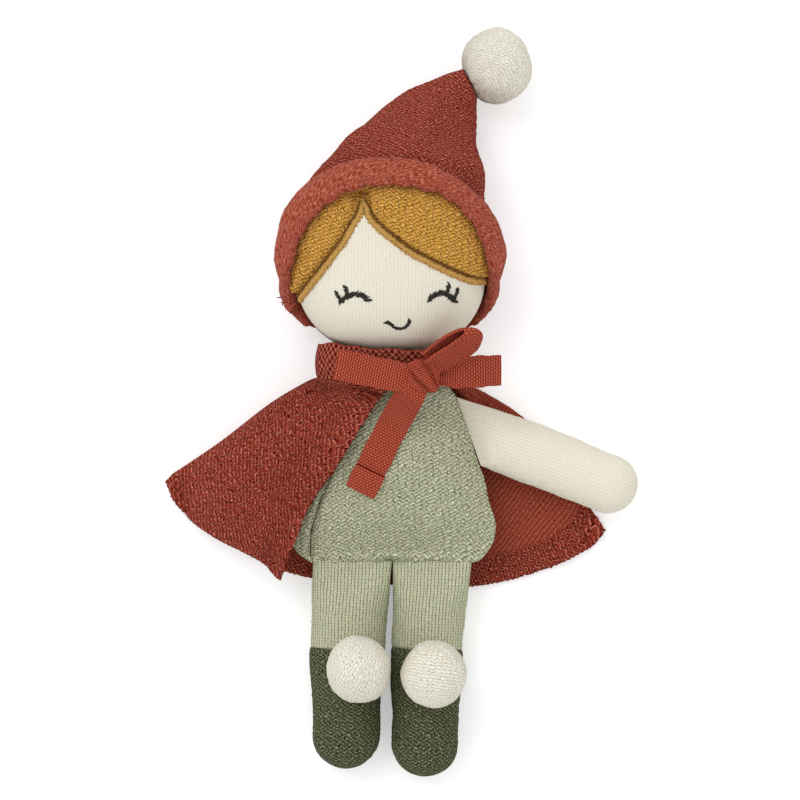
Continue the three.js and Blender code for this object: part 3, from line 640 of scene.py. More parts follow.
TAPE = woven_tape("red_cotton_tape", "#741c0d", "#af4d39", "#cb6e59")
OCHRE_THREAD = thread("ochre_thread", "#c4913e", "#efc377")
BROWN_THREAD = thread("brown_thread", "#57340f", "#8f6226")
BLACK_THREAD = thread("black_thread", "#1b1a17", "#44423a")
RUST_THREAD = thread("rust_thread", "#8d4436", "#b87060")
OLIVE_THREAD = thread("olive_thread", "#42442a", "#6d7050")


def piece(obj, body, nodes):
    """Puts a finished piece on its body, unless it is blended, in place of CAD nodes."""
    if body:
        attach(obj, body)
    if nodes:
        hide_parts(*nodes)


# Tunic

# Its outline, which bulges above its hem: height and half width
TUNIC_SIDE = [
    (-54.2, 26.4), (-53.6, 28.0), (-51.6, 30.7), (-49.4, 32.5), (-46.4, 33.9), (-42.0, 34.4),
    (-38.4, 33.6), (-32.0, 31.6), (-22.0, 29.0), (1.0, 21.0), (15.0, 12.0),
]
SIDE_SEAM = [(-17.5, -8), (-19.5, -20), (-22.9, -31.1), (-25.0, -37.6), (-26.7, -43.6), (-27.1, -52.0)]


def tunic_half(y):
    levels = [HEM_Y, WAIST_Y, SHOULDER_Y, TUNIC_TOP]
    return np.interp(y, levels, [HEM_HALF, WAIST_HALF, SHOULDER_HALF, NECK_HALF])


def tunic_fullness(y):
    v = np.clip((y - HEM_Y) / (TUNIC_TOP - HEM_Y), 0, 1)
    return np.where(v < 0.5, 1 - (1 - 2 * v) ** 2, 1 - 0.5 * np.abs(2 * v - 1) ** 2.2)


def tunic_front(x, y):
    return FOLD_Z + TUNIC_FRONT * tunic_fullness(y) * np.maximum(0, 1 - (x / tunic_half(y)) ** 2)


def build_tunic():
    rows, across = 130, 110
    v = np.linspace(0, 1, rows)[:, None]
    u = np.cos(np.linspace(0, np.pi, across))
    outline = even(on_floor(TUNIC_SIDE), 300)
    level = mix(TUNIC_SIDE[0][0], TUNIC_TOP, v**1.3)
    above = level - TUNIC_SIDE[0][0]
    x = u * np.interp(level, outline[:, 0], outline[:, 1])
    notch = 1.2 * bump(x, 0.0, 3.5) + 0.5 * bump(x, -24, 5) - 0.3 * np.sin(x * 0.9)
    y = level + notch * (1 - smooth(above / 5))
    full = np.maximum(tunic_fullness(level), 0.17 * np.sqrt(smooth(above / 2.4)))
    lens = (1 - u**2) ** 0.85
    seam = line_distance(x, y, SIDE_SEAM)
    front_z = FOLD_Z + TUNIC_FRONT * full * lens - 1.1 * bump(seam, 0.0, 0.7) + 0.6 * bump(seam, 2.0, 1.4)
    bulge = 1.5 * bump(x, -30.5, 3.0) * bump(y, -44, 8)
    pull = np.sin((x * 0.5 + y * 0.16) * 0.55) * bump(y, HEM_Y + 4, 9) * 0.5 * lens
    folds = 0.8 * np.sin((x - 0.35 * y) / 4.6 + 1.2) * smooth(u + 0.2) * bump(y, -30, 20) * lens
    front = xyz(x, y, front_z + bulge + pull + folds)
    back = xyz(x, y, TUNIC_MID - SEAM_HALF + 0.4 - 10.6 * full * lens)[:, -2:0:-1]
    uv = seen_uv(np.concatenate([front, back], axis=1), squash=0.6) * [-1, 1]
    front -= normals_of(front) * (0.35 * lumps(front, 9, 4) + 0.12 * lumps(front, 1.0, 5))[..., None]
    grid = np.concatenate([front, back], axis=1)
    obj = surface("tunic", grid, uv, [SAGE], wrap=True, caps=(True, True), flip=True)
    piece(obj, "torso", ["tunic_front", "tunic_back", "tunic_filling"])
    spots = even(on_floor(SIDE_SEAM[2:]), 22)
    nearest = [np.argmin(np.hypot(front[..., 0] - a, front[..., 1] - b)) for a, b, _ in spots]
    spots[:, 2] = front[..., 2].ravel()[nearest] + 0.15
    arch = np.array([0, 0, 0.12])
    seam_stitches = [tube_between(a, mix(a, b, 0.92), arch, 0.24) for a, b in zip(spots, spots[1:])]
    piece(threads("tunic_seam_stitches", seam_stitches, OLIVE_THREAD), "torso", [])


# Head


def on_head(direction, grow):
    """The place on the head, grown by grow, in each direction from its centre, and the way out there."""
    d = np.asarray(direction, float)
    deep = np.where(d[..., 2] > 0, HEAD_FRONT, HEAD_BACK) + grow
    size = xyz(HEAD_HALF + grow, HEAD_TALL + grow, deep)
    slope = signed_power(d / size, HEAD_ROUND - 1) / size
    reach = (d * slope).sum(-1) ** (-1 / HEAD_ROUND)
    return HEAD + d * reach[..., None], unit(slope)


def on_face(places, grow):
    """The places on the front of the head that are seen at places from above, and the way out there."""
    x, y = places[:, 0], places[:, 1]
    a, b, c = HEAD_HALF + grow, HEAD_TALL + grow, HEAD_FRONT + grow
    rest = 1 - np.abs((x - HEAD[0]) / a) ** HEAD_ROUND - np.abs((y - HEAD[1]) / b) ** HEAD_ROUND
    found = xyz(x, y, HEAD[2] + c * np.maximum(rest, 1e-4) ** (1 / HEAD_ROUND))
    return found, on_head(found - HEAD, grow)[1]


def head_cap(deep, edge):
    """Rings of the head's front or back, deep from its centre, out to edge degrees from the middle, with
    the angle of each ring and the turn of each column."""
    angle = np.radians(np.linspace(0.5, edge, 56))[:, None]
    turn = circle(120)
    direction = xyz(np.sin(angle) * np.cos(turn), np.sin(angle) * np.sin(turn), np.cos(angle))
    return on_head(direction * [HEAD_HALF, HEAD_TALL, deep], 0.0)[0], angle, turn


def build_head():
    face, angle, _ = head_cap(HEAD_FRONT, 97)
    face = face + normals_of(face, wrap=True) * (0.18 * lumps(face, 14, 11))[..., None]
    edge = smooth((angle - math.radians(92)) / math.radians(5))
    face = mix(face, HEAD + (face - HEAD) * 0.985, edge[..., None])
    obj = surface("face_jersey", face, cap_uv(face), [CREAM], wrap=True, caps=(True, False))
    piece(obj, "head", ["face", "head_filling"])

    back, angle, turn = head_cap(-HEAD_BACK, 86)
    low = smooth(-np.sin(turn) * 1.6) * bump(angle, math.radians(66), math.radians(14))
    back = HEAD + (back - HEAD) * (1 + 0.028 * low)[..., None]
    keep_above(back, 0.9)
    obj = surface("head_back_knit", back, cap_uv(back), [HAIR_BACK], wrap=True, caps=(True, False), flip=True)
    piece(obj, "head", ["head_back"])

    turn = circle(48)
    y = np.linspace(TUNIC_TOP - 8.8, HEAD[1] - HEAD_TALL + 8.5, 24)[:, None]
    swell = 5.3 - 0.5 * bump(y, 15.2, 2.5)
    grid = xyz(HEAD[0] + swell * np.cos(turn), y, 15.5 + swell * np.sin(turn))
    uv = xyz(np.linspace(0, 34, len(turn) + 1), y)
    obj = surface("neck_jersey", grid, uv, [CREAM_LIMB], wrap=True, caps=(True, True), flip=True)
    piece(obj, "torso", ["neck"])


# The hair's lower edges, from the parting outwards
FRINGES = {
    "left": [
        (-9.8, 65.4), (-9.3, 62.6), (-9.5, 60.4), (-12.3, 55.8), (-14.7, 51.3),
        (-18.8, 46.0), (-22.5, 41.2), (-26.8, 35.9), (-29.6, 32.4),
    ],
    "right": [
        (-9.6, 65.4), (-9.0, 62.6), (-8.9, 60.4), (-6.5, 56.9), (-2.7, 53.4), (1.4, 50.2), (5.3, 47.4),
        (9.0, 45.4), (14.3, 42.7), (19.4, 40.4), (24.2, 38.6), (28.0, 38.0), (31.6, 38.4),
    ],
}


def brim_line(turn):
    """Directions from the head's centre to the brim, which slopes back below the middle."""
    up = HEAD_TALL * np.sin(turn)
    tilt = np.where(up > 0, BRIM_RISE, BRIM_DROP)
    return xyz(HEAD_HALF * np.cos(turn), up * np.cos(tilt), BRIM_LEAD + up * np.sin(tilt))


def build_hair():
    satin, dark = [], []
    for side, fringe in FRINGES.items():
        left = side == "left"
        fringe = even(on_floor(fringe), 90)
        low = on_face(fringe, 0.0)[0]
        high = on_head(brim_line(np.radians(np.linspace(106, 196 if left else -19, 90))), 0.0)[0]
        t = np.linspace(0, 1, 70)[:, None]
        flat = mix(low, high, (t**1.4)[..., None])
        away = line_distance(flat[..., 0], flat[..., 1], fringe[::3, :2])
        raised = smooth((away - 2.2) / 1.1)
        grow = 0.25 + raised * (1.6 + 1.3 * smooth((t - 0.3) / 0.6))
        grid = on_head(flat - HEAD, grow)[0]
        rough = 0.2 * lumps(grid, 7, 21) + 0.1 * lumps(grid, 1.1, 22)
        grid = grid + on_head(flat - HEAD, 0.0)[1] * (rough * raised)[..., None]
        uv = xyz(grid[..., 0], grid[..., 1] + 0.22 * grid[..., 0])
        obj = surface(f"hair_{side}_knit", grid, uv, [HAIR], flip=not left)
        thicken(obj, 1.2, -1)
        piece(obj, "head", [f"hair_{side}"])

        way = tangents(fringe[:, :2])
        inward = xyz(-way[:, 1], way[:, 0]) * (-1 if left else 1)
        along = np.linspace(0, length_of(fringe), len(fringe))[:, None]
        narrow = mix(0.3, 1.0, smooth(along / 4.5))
        line, out = on_face(fringe[:, :2] + inward * 1.05 * narrow, 0.3)
        satin += stitches(line, out, 2.0, 0.36, 0.24, 31, slant=0.16, arch=0.7, ragged=0.36)
        groove = resample(fringe[:, :2] + inward * 2.45 * narrow, int(length_of(fringe) / 1.2))
        line, out = on_face(groove, 0.85)
        rng = np.random.default_rng(33)
        for a, b, o in zip(line, line[1:], out):
            jog = unit(np.cross(o, b - a)) * rng.uniform(-0.22, 0.22)
            dark.append(tube_between(a + jog, mix(a, b, 0.95) - jog, o * 0.2, rng.uniform(0.24, 0.4)))
    piece(threads("hair_satin_edge", satin, OCHRE_THREAD), "head", [])
    piece(threads("hair_groove_stitches", dark, BROWN_THREAD), "head", [])


# The face's strokes, eyes with lashes and a smile: width, and places as pixels of the photograph
STROKES = [
    (1.5, [(340.3, 303.3), (348, 297.7), (355, 295.3), (362, 296.5), (369, 302)]),
    (1.15, [(341.5, 301.5), (339, 297.5), (337, 293)]),
    (1.25, [(349, 297), (347, 292.5), (345.5, 287.8)]),
    (1.4, [(428, 301.5), (433, 297.3), (439, 294.6), (445, 294.8), (450, 298.3), (455.5, 303.5)]),
    (1.25, [(446.5, 294), (447.8, 289.5), (449, 285.5)]),
    (1.15, [(453.5, 301.5), (455.5, 296), (457.5, 290.3)]),
    (0.95, [(385.5, 322.8), (390, 324.2), (394, 327.8), (399, 329.4), (405, 328), (408, 325), (410, 321)]),
]


def build_face():
    found = []
    for n, (width, places) in enumerate(STROKES):
        places = [((x - 392) * PIXEL, (400 - y) * PIXEL) for x, y in places]
        line, out = on_face(even(on_floor(places), 60), 0.12)
        found += stitches(line, out, width * 1.15, 0.32, 0.24, 50 + n, slant=0.45, arch=0.35, ragged=0.38)
    piece(threads("face_embroidery", found, BLACK_THREAD), "head", [])


# Hat


def build_brim():
    turn, angle = circle(260), circle(36)
    up = np.sin(turn)
    behind = smooth(-1.4 * up)
    cheek = bump(turn, math.radians(219), math.radians(17))
    cheek += 0.7 * bump(turn, math.radians(321), math.radians(17))
    narrow = bump(turn, math.radians(46), math.radians(28))
    beside = smooth(1.6 - 3.2 * up) * smooth(1 + 5 * up)
    thick = 2.8 * mix(1, 0.45, behind) + 1.5 * cheek - 0.25 * beside
    half = 6.0 * mix(1, 0.6, behind) - 1.7 * narrow
    off = mix(2.2, 0.3, smooth(-3.0 * up)) + 0.4 * beside
    place, out = on_head(brim_line(turn), off + thick)
    along = unit(np.roll(place, -1, axis=0) - np.roll(place, 1, axis=0))
    level = unit(np.cross(along, out))
    place = place - level * (1.7 * narrow)[:, None]
    arc = walked(np.vstack([place, place[:1]]))
    wave = 0.6 * np.abs(np.sin(arc[:-1] * np.pi / 3.3)) + 0.5 * np.sin(arc[:-1] * 2 * np.pi / 8.7)
    side = np.cos(angle) * (half[:, None] + wave[:, None] * smooth(-np.cos(angle) * 3))
    rise = np.sin(angle) * thick[:, None]
    grid = place[:, None] + level[:, None] * side[..., None] + out[:, None] * rise[..., None]
    rough = 0.22 * lumps(grid, 4, 41) + 0.3 * lumps(grid, 12, 43) + 0.14 * lumps(grid, 1.0, 44)
    grid = grid + unit(grid - place[:, None]) * rough[..., None]
    keep_above(grid, 0.15)
    ring = 2 * np.pi * np.sqrt((half**2 + thick**2) / 2).mean()
    uv = xyz(arc[:, None], np.linspace(0, ring, len(angle) + 1))
    obj = surface("hat_brim_roll", grid, uv, [BRIM], wrap=True, loop=True)
    piece(obj, "head", ["hat_brim"])
    root = np.array([-35.0, 33.0, 14.5])
    ends = [
        ([-3.2, 0.9, 0.4], [0, 0.5, 0.4]),
        ([-2.0, -0.6, 0.9], [0.2, -0.3, 0.5]),
        ([-1.4, -1.6, 0.2], [-0.4, 0, 0.3]),
    ]
    loose = [tube_between(root, root + way, np.array(arch), 0.22) for way, arch in ends]
    piece(threads("brim_loose_thread", loose, RUST_THREAD), "head", [])


HAT_TALL = 58.0
TIP_ACROSS = unit([0.077, -0.155, 0])
TIP = HEAD * [1, 1, 0.57] + [0.455 * HAT_TALL, HAT_TALL, 0]
TIP_HALF = 5.5


def cone_ring(x, y, z, across, deep):
    """A ring of the cone, in shares of the hat's and the head's size: middle, half across and half deep."""
    middle = np.array([HEAD[0] + HAT_TALL * x, HEAD[1] + HAT_TALL * y, HEAD[2] * z])
    return middle, HEAD_HALF * np.array([*across, 0]), deep * HEAD_FRONT


CONE = [
    cone_ring(0.034, 0.395, 1.02, (0.906, -0.062), 0.76),
    cone_ring(0.134, 0.586, 1.06, (0.712, -0.156), 0.8),
    cone_ring(0.274, 0.8, 0.76, (0.397, -0.234), 0.5),
    cone_ring(0.384, 0.917, 0.62, (0.188, -0.219), 0.32),
    (TIP, TIP_ACROSS * TIP_HALF, TIP_HALF),
]


def build_hat():
    around, rows = 160, 130
    turn = circle(around)
    start = on_head(brim_line(turn), 1.2)[0]
    rings = [
        middle + np.cos(turn)[:, None] * across + np.sin(turn)[:, None] * [0, 0, deep]
        for middle, across, deep in CONE
    ]
    ahead = smooth((rings[0][:, 1] - start[:, 1]) / 9)[:, None]
    root = mix(mix(start, rings[1], 0.3), rings[0], ahead)
    path = [start]
    for p in (mix(start, root, 0.5), root, mix(root, rings[1], 0.5)):
        shell = on_head(p - HEAD, 1.9)[0]
        outside = np.linalg.norm(p - HEAD, axis=1) > np.linalg.norm(shell - HEAD, axis=1)
        path.append(np.where(outside[:, None], p, shell))
    path = np.array([*path, *rings[1:]])
    lines = np.stack([even(path[:, k], rows) for k in range(around)], axis=1)
    s = np.linspace(0, 1, rows)[:, None]
    front = smooth(np.sin(turn) + 0.3)
    free = smooth(s / 0.25) * smooth((1 - s) / 0.12)
    x, y = lines[..., 0], lines[..., 1]
    crease = 0.9 * np.sin((y - 0.6 * x) / 5.2 + 0.4) * bump(s, 0.45, 0.22)
    crease += 0.7 * np.sin((y + 0.7 * x) / 4.4 + 1.0) * bump(s, 0.75, 0.18)
    sink = -2.0 * bump(s, 0.09, 0.06)
    rough = 0.4 * lumps(lines, 8, 61) + 0.14 * lumps(lines, 1.0, 62)
    grid = lines - normals_of(lines, wrap=True) * ((crease * free + sink) * front + rough * free)[..., None]
    keep_above(grid, 0.1)
    behind = around // 4
    grid, uv = np.roll(grid, behind, axis=1), seen_uv(np.roll(lines, behind, axis=1))
    obj = surface("hat_knit", grid, uv, [RUST], wrap=True, caps=(False, True), flip=True)
    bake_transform(obj)
    piece(obj, None, ["hat_cone", "hat_filling"])


def build_pompom(name, body, centre, neck, radius, seed, shape=(1, 1, 1)):
    """A ball round centre, drawn in at its neck, which is the way from it to what it is sewn on."""
    rows, around = 72, 108
    lat = np.linspace(0.02, np.pi - 0.02, rows)[:, None]
    turn = circle(around)
    axis = unit(neck)
    side = unit(np.cross(axis, [0.3, 0.2, 1.0] if abs(axis[2]) < 0.9 else [1.0, 0.1, 0.0]))
    other = np.cross(axis, side)
    r = radius * (1 - 0.16 * np.exp(-3 * lat)) + 0.35 * np.exp(-2.6 * lat) * np.cos(11 * turn)
    ball = (
        axis * (r * np.cos(lat))[..., None]
        + side * (r * np.sin(lat) * np.cos(turn))[..., None]
        + other * (r * np.sin(lat) * np.sin(turn))[..., None]
    )
    uneven = 0.034 * lumps(ball, 9, seed) + 0.014 * lumps(ball, 4, seed + 1)
    uneven += 0.008 * lumps(ball, 1.2, seed + 2)
    grid = centre + ball * (1 + uneven)[..., None] * shape
    keep_above(grid, 0.05)
    reach = radius * (np.pi - lat)
    wrapped = np.linspace(0, 2 * np.pi, around + 1) + seed
    uv = xyz(reach * np.cos(wrapped), reach * np.sin(wrapped))
    obj = surface(f"{name}_knit", grid, uv, [POMPOM], wrap=True, caps=(True, True))
    piece(obj, body, [name, f"{name}_filling"])


# Limbs

ARM_SIDE = np.array([WAIST_HALF - SHOULDER_HALF, WAIST_Y - SHOULDER_Y, 0.0])
ARM_OUT = unit([-ARM_SIDE[1], ARM_SIDE[0], 0])
ARM_SEAM = np.array([(WAIST_HALF + SHOULDER_HALF) / 2, (WAIST_Y + SHOULDER_Y) / 2, 0]) + ARM_OUT * GAP


def limb_grid(path, seam_side, half, end_half, deep, taper, bottom, rows=130, turns=96, wrinkle=0.2, seed=0):
    """Rings of a stuffed limb, from its flat sewn seam to its round end, with their uvs and how far along
    the limb each one is."""
    end_rows = 22
    fine = spline(on_floor(path), np.linspace(0, 1, 400))
    walk = walked(fine)
    length = walk[-1]
    rounding = end_half * np.sin(np.radians(np.linspace(4, 88, end_rows)))
    s = np.concatenate([np.linspace(0, length, rows - end_rows), length + rounding])
    past = np.maximum(s - length, 0)
    along = unit(interpolated(s, walk, tangents(fine)))
    middle = interpolated(s, walk, fine) + along * past[:, None]
    shrink = np.sqrt(np.clip(1 - (past / end_half) ** 2, 0.0004, 1))[:, None]
    rise = np.sin(np.clip(s / taper, 0, 1) * np.pi / 2)[:, None]
    upper = mix(FOLD_Z + 0.7, bottom + deep, rise)
    lower = mix(TUNIC_MID - SEAM_HALF, bottom, rise)
    width = mix(half, end_half, smooth((s - taper) / (length - taper)))[:, None]
    turned = smooth(s / taper)[:, None]
    side = mix(seam_side, xyz(along[:, 1], -along[:, 0], 0) * width, turned) * shrink
    power = 2 / mix(4, 2, turned)
    turn = circle(turns)
    grid = middle[:, None] + side[:, None] * signed_power(np.cos(turn), power)[..., None]
    grid[..., 2] = (upper + lower) / 2 + (upper - lower) / 2 * shrink * signed_power(np.sin(turn), power)
    fade = (np.exp(-s / (taper * 0.55)) * smooth(s / 2.5))[:, None]
    gather = wrinkle * fade * np.sin(turn * 9 + 1.7) * np.abs(np.sin(turn))
    seam = -0.35 * (bump(np.sin(turn / 2), 0, 0.035) + bump(np.cos(turn / 2), 0, 0.035))
    lump = (0.3 * lumps(grid, 10, seed) + 0.1 * lumps(grid, 1.1, seed + 1)) * turned
    centre = grid.mean(axis=1, keepdims=True)
    grid = grid + unit(grid - centre) * (gather + seam * shrink + lump)[..., None]
    keep_above(grid, max(bottom, 0.02))
    grid = np.roll(grid, turns // 4, axis=1)
    return grid, ring_uv(grid), s


ARMS = {
    "right": dict(
        path=ARM_SEAM[:2] + [[0, 0], [22.6, -8], [46.3, -17.4]],
        seam_side=ARM_SIDE / 2,
    ),
    "left": dict(
        path=ARM_SEAM[:2] * [-1, 1]
        + [[0, 0], [-9.6, -2.8], [-18.5, -9], [-22.9, -16.1], [-22, -23.9], [-17.1, -28.8]],
        seam_side=ARM_SIDE * [1, -1, 1] / 2,
    ),
}


def build_arms():
    for n, (side, arm) in enumerate(ARMS.items()):
        grid, uv, _ = limb_grid(
            **arm, half=ARM_HALF, end_half=ARM_HALF, deep=ARM_DEEP, taper=14, bottom=REST_Z, seed=70 + n
        )
        obj = surface(f"arm_{side}_jersey", grid, uv, [CREAM_LIMB], wrap=True, caps=(True, True))
        piece(obj, f"{side}_arm", [f"arm_{side}", f"arm_{side}_filling"])


# Each leg's x at its seam and at its foot, its length and its half width
LEGS = {
    "left": (-LEG_SEAM_HALF, -15.3, 69.4, 12.8),
    "right": (LEG_SEAM_HALF + GAP, 10.9, 72.0, 12.2),
}


def grown(rings, share):
    """Rings grown by a share round their middles."""
    middle = rings.mean(axis=1, keepdims=True)
    return middle + (rings - middle) * share


def build_legs():
    for n, (side, (seam_x, foot_x, length, half)) in enumerate(LEGS.items()):
        top = HEM_Y - GAP
        ankle = top - length + 11
        grid, uv, s = limb_grid(
            path=[(seam_x, top), (mix(seam_x, foot_x, 0.7), mix(top, ankle, 0.5)), (foot_x, ankle)],
            seam_side=np.array([-LEG_SEAM_HALF, 0, 0]),
            half=half, end_half=11, deep=20.6, taper=18, bottom=-0.5, rows=160, wrinkle=0.3, seed=80 + n,
        )
        cut = int(np.argmin(np.abs(grid[..., 1].mean(axis=1) - BOOT_TOP_Y)))
        tucked = cut + 3
        leg = np.concatenate([grid[:cut], grown(grid[cut:tucked], 0.96)])
        obj = surface(f"leg_{side}_jersey", leg, uv[:tucked], [SAGE_LEG], wrap=True, caps=(True, True))
        piece(obj, f"{side}_leg", [f"leg_{side}", f"leg_{side}_filling"])
        step = (s[cut:] - s[cut])[:, None, None]
        boot = grown(grid[cut:], 1 + 0.03 * smooth(step / 1.2) * np.clip(1 - (step - 8) / 20, 0, 1))
        keep_above(boot, 0.02)
        obj = surface(f"boot_{side}_knit", boot, uv[cut:], [GREEN], wrap=True, caps=(True, True))
        piece(obj, f"{side}_leg", [f"boot_{side}"])


# Collar and cape

COLLAR_LOW = dict(half=20.0, front=HEAD[2] + 8, back=REST_Z + 1.2, top=8.0)
COLLAR_HIGH = dict(half=23.0, front=HEAD[2] + 14.5, back=REST_Z + 3, top=18.0)


def build_collar():
    turn = circle(200)
    t = np.linspace(0, 1, 16)[:, None]
    front = np.clip(0.5 + 0.5 * np.sin(turn), 0, 1)
    across = HEAD[0] + COLLAR_HIGH["half"] * np.cos(turn)
    top = mix(TUNIC_TOP - GAP, COLLAR_HIGH["top"] + 0.4, smooth(front * 1.7))
    top = top - 2.6 * smooth((across + 20) / 28) * front
    half, ahead, back = (mix(COLLAR_LOW[key], COLLAR_HIGH[key], t) for key in ("half", "front", "back"))
    half = mix(half + 0.8, COLLAR_HIGH["half"] + 0.3, smooth(-np.cos(turn) * 1.5))
    belly = 0.9 * np.sin(np.pi * t) + 0.25 * np.sin(turn * 23) * (1 - t)
    ripple = (0.45 * np.sin(turn * 5 + 1) + 0.25 * np.sin(turn * 13)) * t
    grid = xyz(
        HEAD[0] + (half + belly) * np.cos(turn),
        mix(COLLAR_LOW["top"] - 1.4, top, t) + ripple,
        (ahead + back) / 2 + ((ahead - back) / 2 + 0.8 + belly) * np.sin(turn),
    )
    arc = walked(np.vstack([grid[0], grid[0, :1]]))
    obj = surface("collar_knit", grid, xyz(arc, 11 * t), [RUST_COLLAR], wrap=True)
    thicken(obj, 1.5, 0)
    piece(obj, "torso", ["collar"])


CAPE_LENGTH = 85.0
CAPE_THICK = 1.5
CAPE_SLACK = 9.0

# The cape's spokes, as in the CAD source: turn round the collar, share of it that lies in front, and places
# in shares of its length.
SPOKES = [
    (12, 1, [[-0.082, -0.035], [-0.215, -0.253], [-0.327, -0.418], [-0.439, -0.698]]),
    (35, 1, [[-0.165, -0.024], [-0.306, -0.235], [-0.435, -0.447], [-0.509, -0.624]]),
    (58, 1, [[-0.247, -0.012], [-0.4, -0.176], [-0.559, -0.353], [-0.7, -0.525]]),
    (75, 0.95, [[-0.306, 0.035], [-0.459, -0.082], [-0.647, -0.241], [-0.824, -0.433]]),
    (92, 0.5, [[-0.332, 0.064], [-0.461, -0.012], [-0.671, -0.172], [-0.899, -0.324]]),
    (112, 0.05, [[-0.312, 0.053], [-0.453, -0.053], [-0.641, -0.218], [-0.835, -0.412]]),
    (135, 0, [[-0.259, -0.047], [-0.376, -0.2], [-0.506, -0.376], [-0.635, -0.565]]),
    (160, 0, [[-0.141, -0.071], [-0.235, -0.271], [-0.318, -0.494], [-0.388, -0.682]]),
    (180, 0, [[-0.024, -0.071], [-0.047, -0.282], [-0.059, -0.506], [-0.059, -0.718]]),
    (205, 0, [[0.118, -0.071], [0.165, -0.282], [0.224, -0.506], [0.282, -0.734]]),
    (232, 0, [[0.247, -0.071], [0.341, -0.259], [0.459, -0.471], [0.576, -0.671]]),
    (258, 0, [[0.318, -0.035], [0.459, -0.188], [0.612, -0.365], [0.782, -0.574]]),
    (282, 0, [[0.353, 0.035], [0.518, -0.071], [0.671, -0.259], [0.835, -0.512]]),
]

# Creases of the cape's front: under the roll below the collar, and the soft valley beside the arm
TUCK = [(-33.5, 1.0), (-23.8, 2.6), (-15.6, 4.4), (-7.3, 3.1), (-1.3, 1.5)]
VALLEY = [(-31.5, -14), (-35.5, -22), (-42.5, -36), (-46.5, -43)]


def rounded_maximum(a, b, slack):
    return (a + b + np.hypot(a - b, slack)) / 2


def height_under_cape(x, y):
    outside = np.maximum(0, np.maximum(np.abs(x) - tunic_half(y), HEM_Y - y))
    on_tunic = GAP + np.where(outside > 0, FOLD_Z - 2 * outside, tunic_front(x, y))
    arm = spline(ARMS["left"]["path"], np.linspace(0, 1, 60))
    away = np.min(np.hypot(x[..., None] - arm[:, 0], y[..., None] - arm[:, 1]), axis=-1)
    on_arm = (REST_Z + ARM_DEEP + 3.2) * (1 - (away / 21) ** 2)
    fill = 21.5 * (1 - (np.hypot(x + 38, y + 25) / 30) ** 2)
    soft = rounded_maximum(rounded_maximum(on_tunic, on_arm, CAPE_SLACK), fill, 4.0)
    return np.maximum(REST_Z + GAP, soft)


def cape_folds(n, o):
    """How far the cape's front stands off what it lies on, at spoke number n and share o of its length."""
    rolled = bump(n, 0.0, 0.28) * smooth(o / 0.25)
    corner = 3.2 * bump(n, 0.1, 0.36) * smooth((o - 0.6) / 0.4)
    ridges = 1.5 * bump(n, 1.55 + 0.25 * np.sin(4 * o), 0.34) + 1.2 * bump(n, 2.55 - 0.3 * o, 0.4)
    return rolled + corner + (ridges + bump(n, 3.5, 0.3)) * smooth(o / 0.55)


def cape_creases(x, y):
    """How far the cape's front is raised by the roll below the collar and sunk by its creases."""
    roll = np.interp(x, *zip(*TUCK)) + 2.4
    raised = 2.4 * bump(y, roll, 1.7) * smooth((-x - 0.5) / 4)
    sunk = 1.2 * bump(line_distance(x, y, TUCK), 0, 0.9) + 0.4 * bump(line_distance(x, y, VALLEY), 0, 3.0)
    return 0.3 + raised - sunk


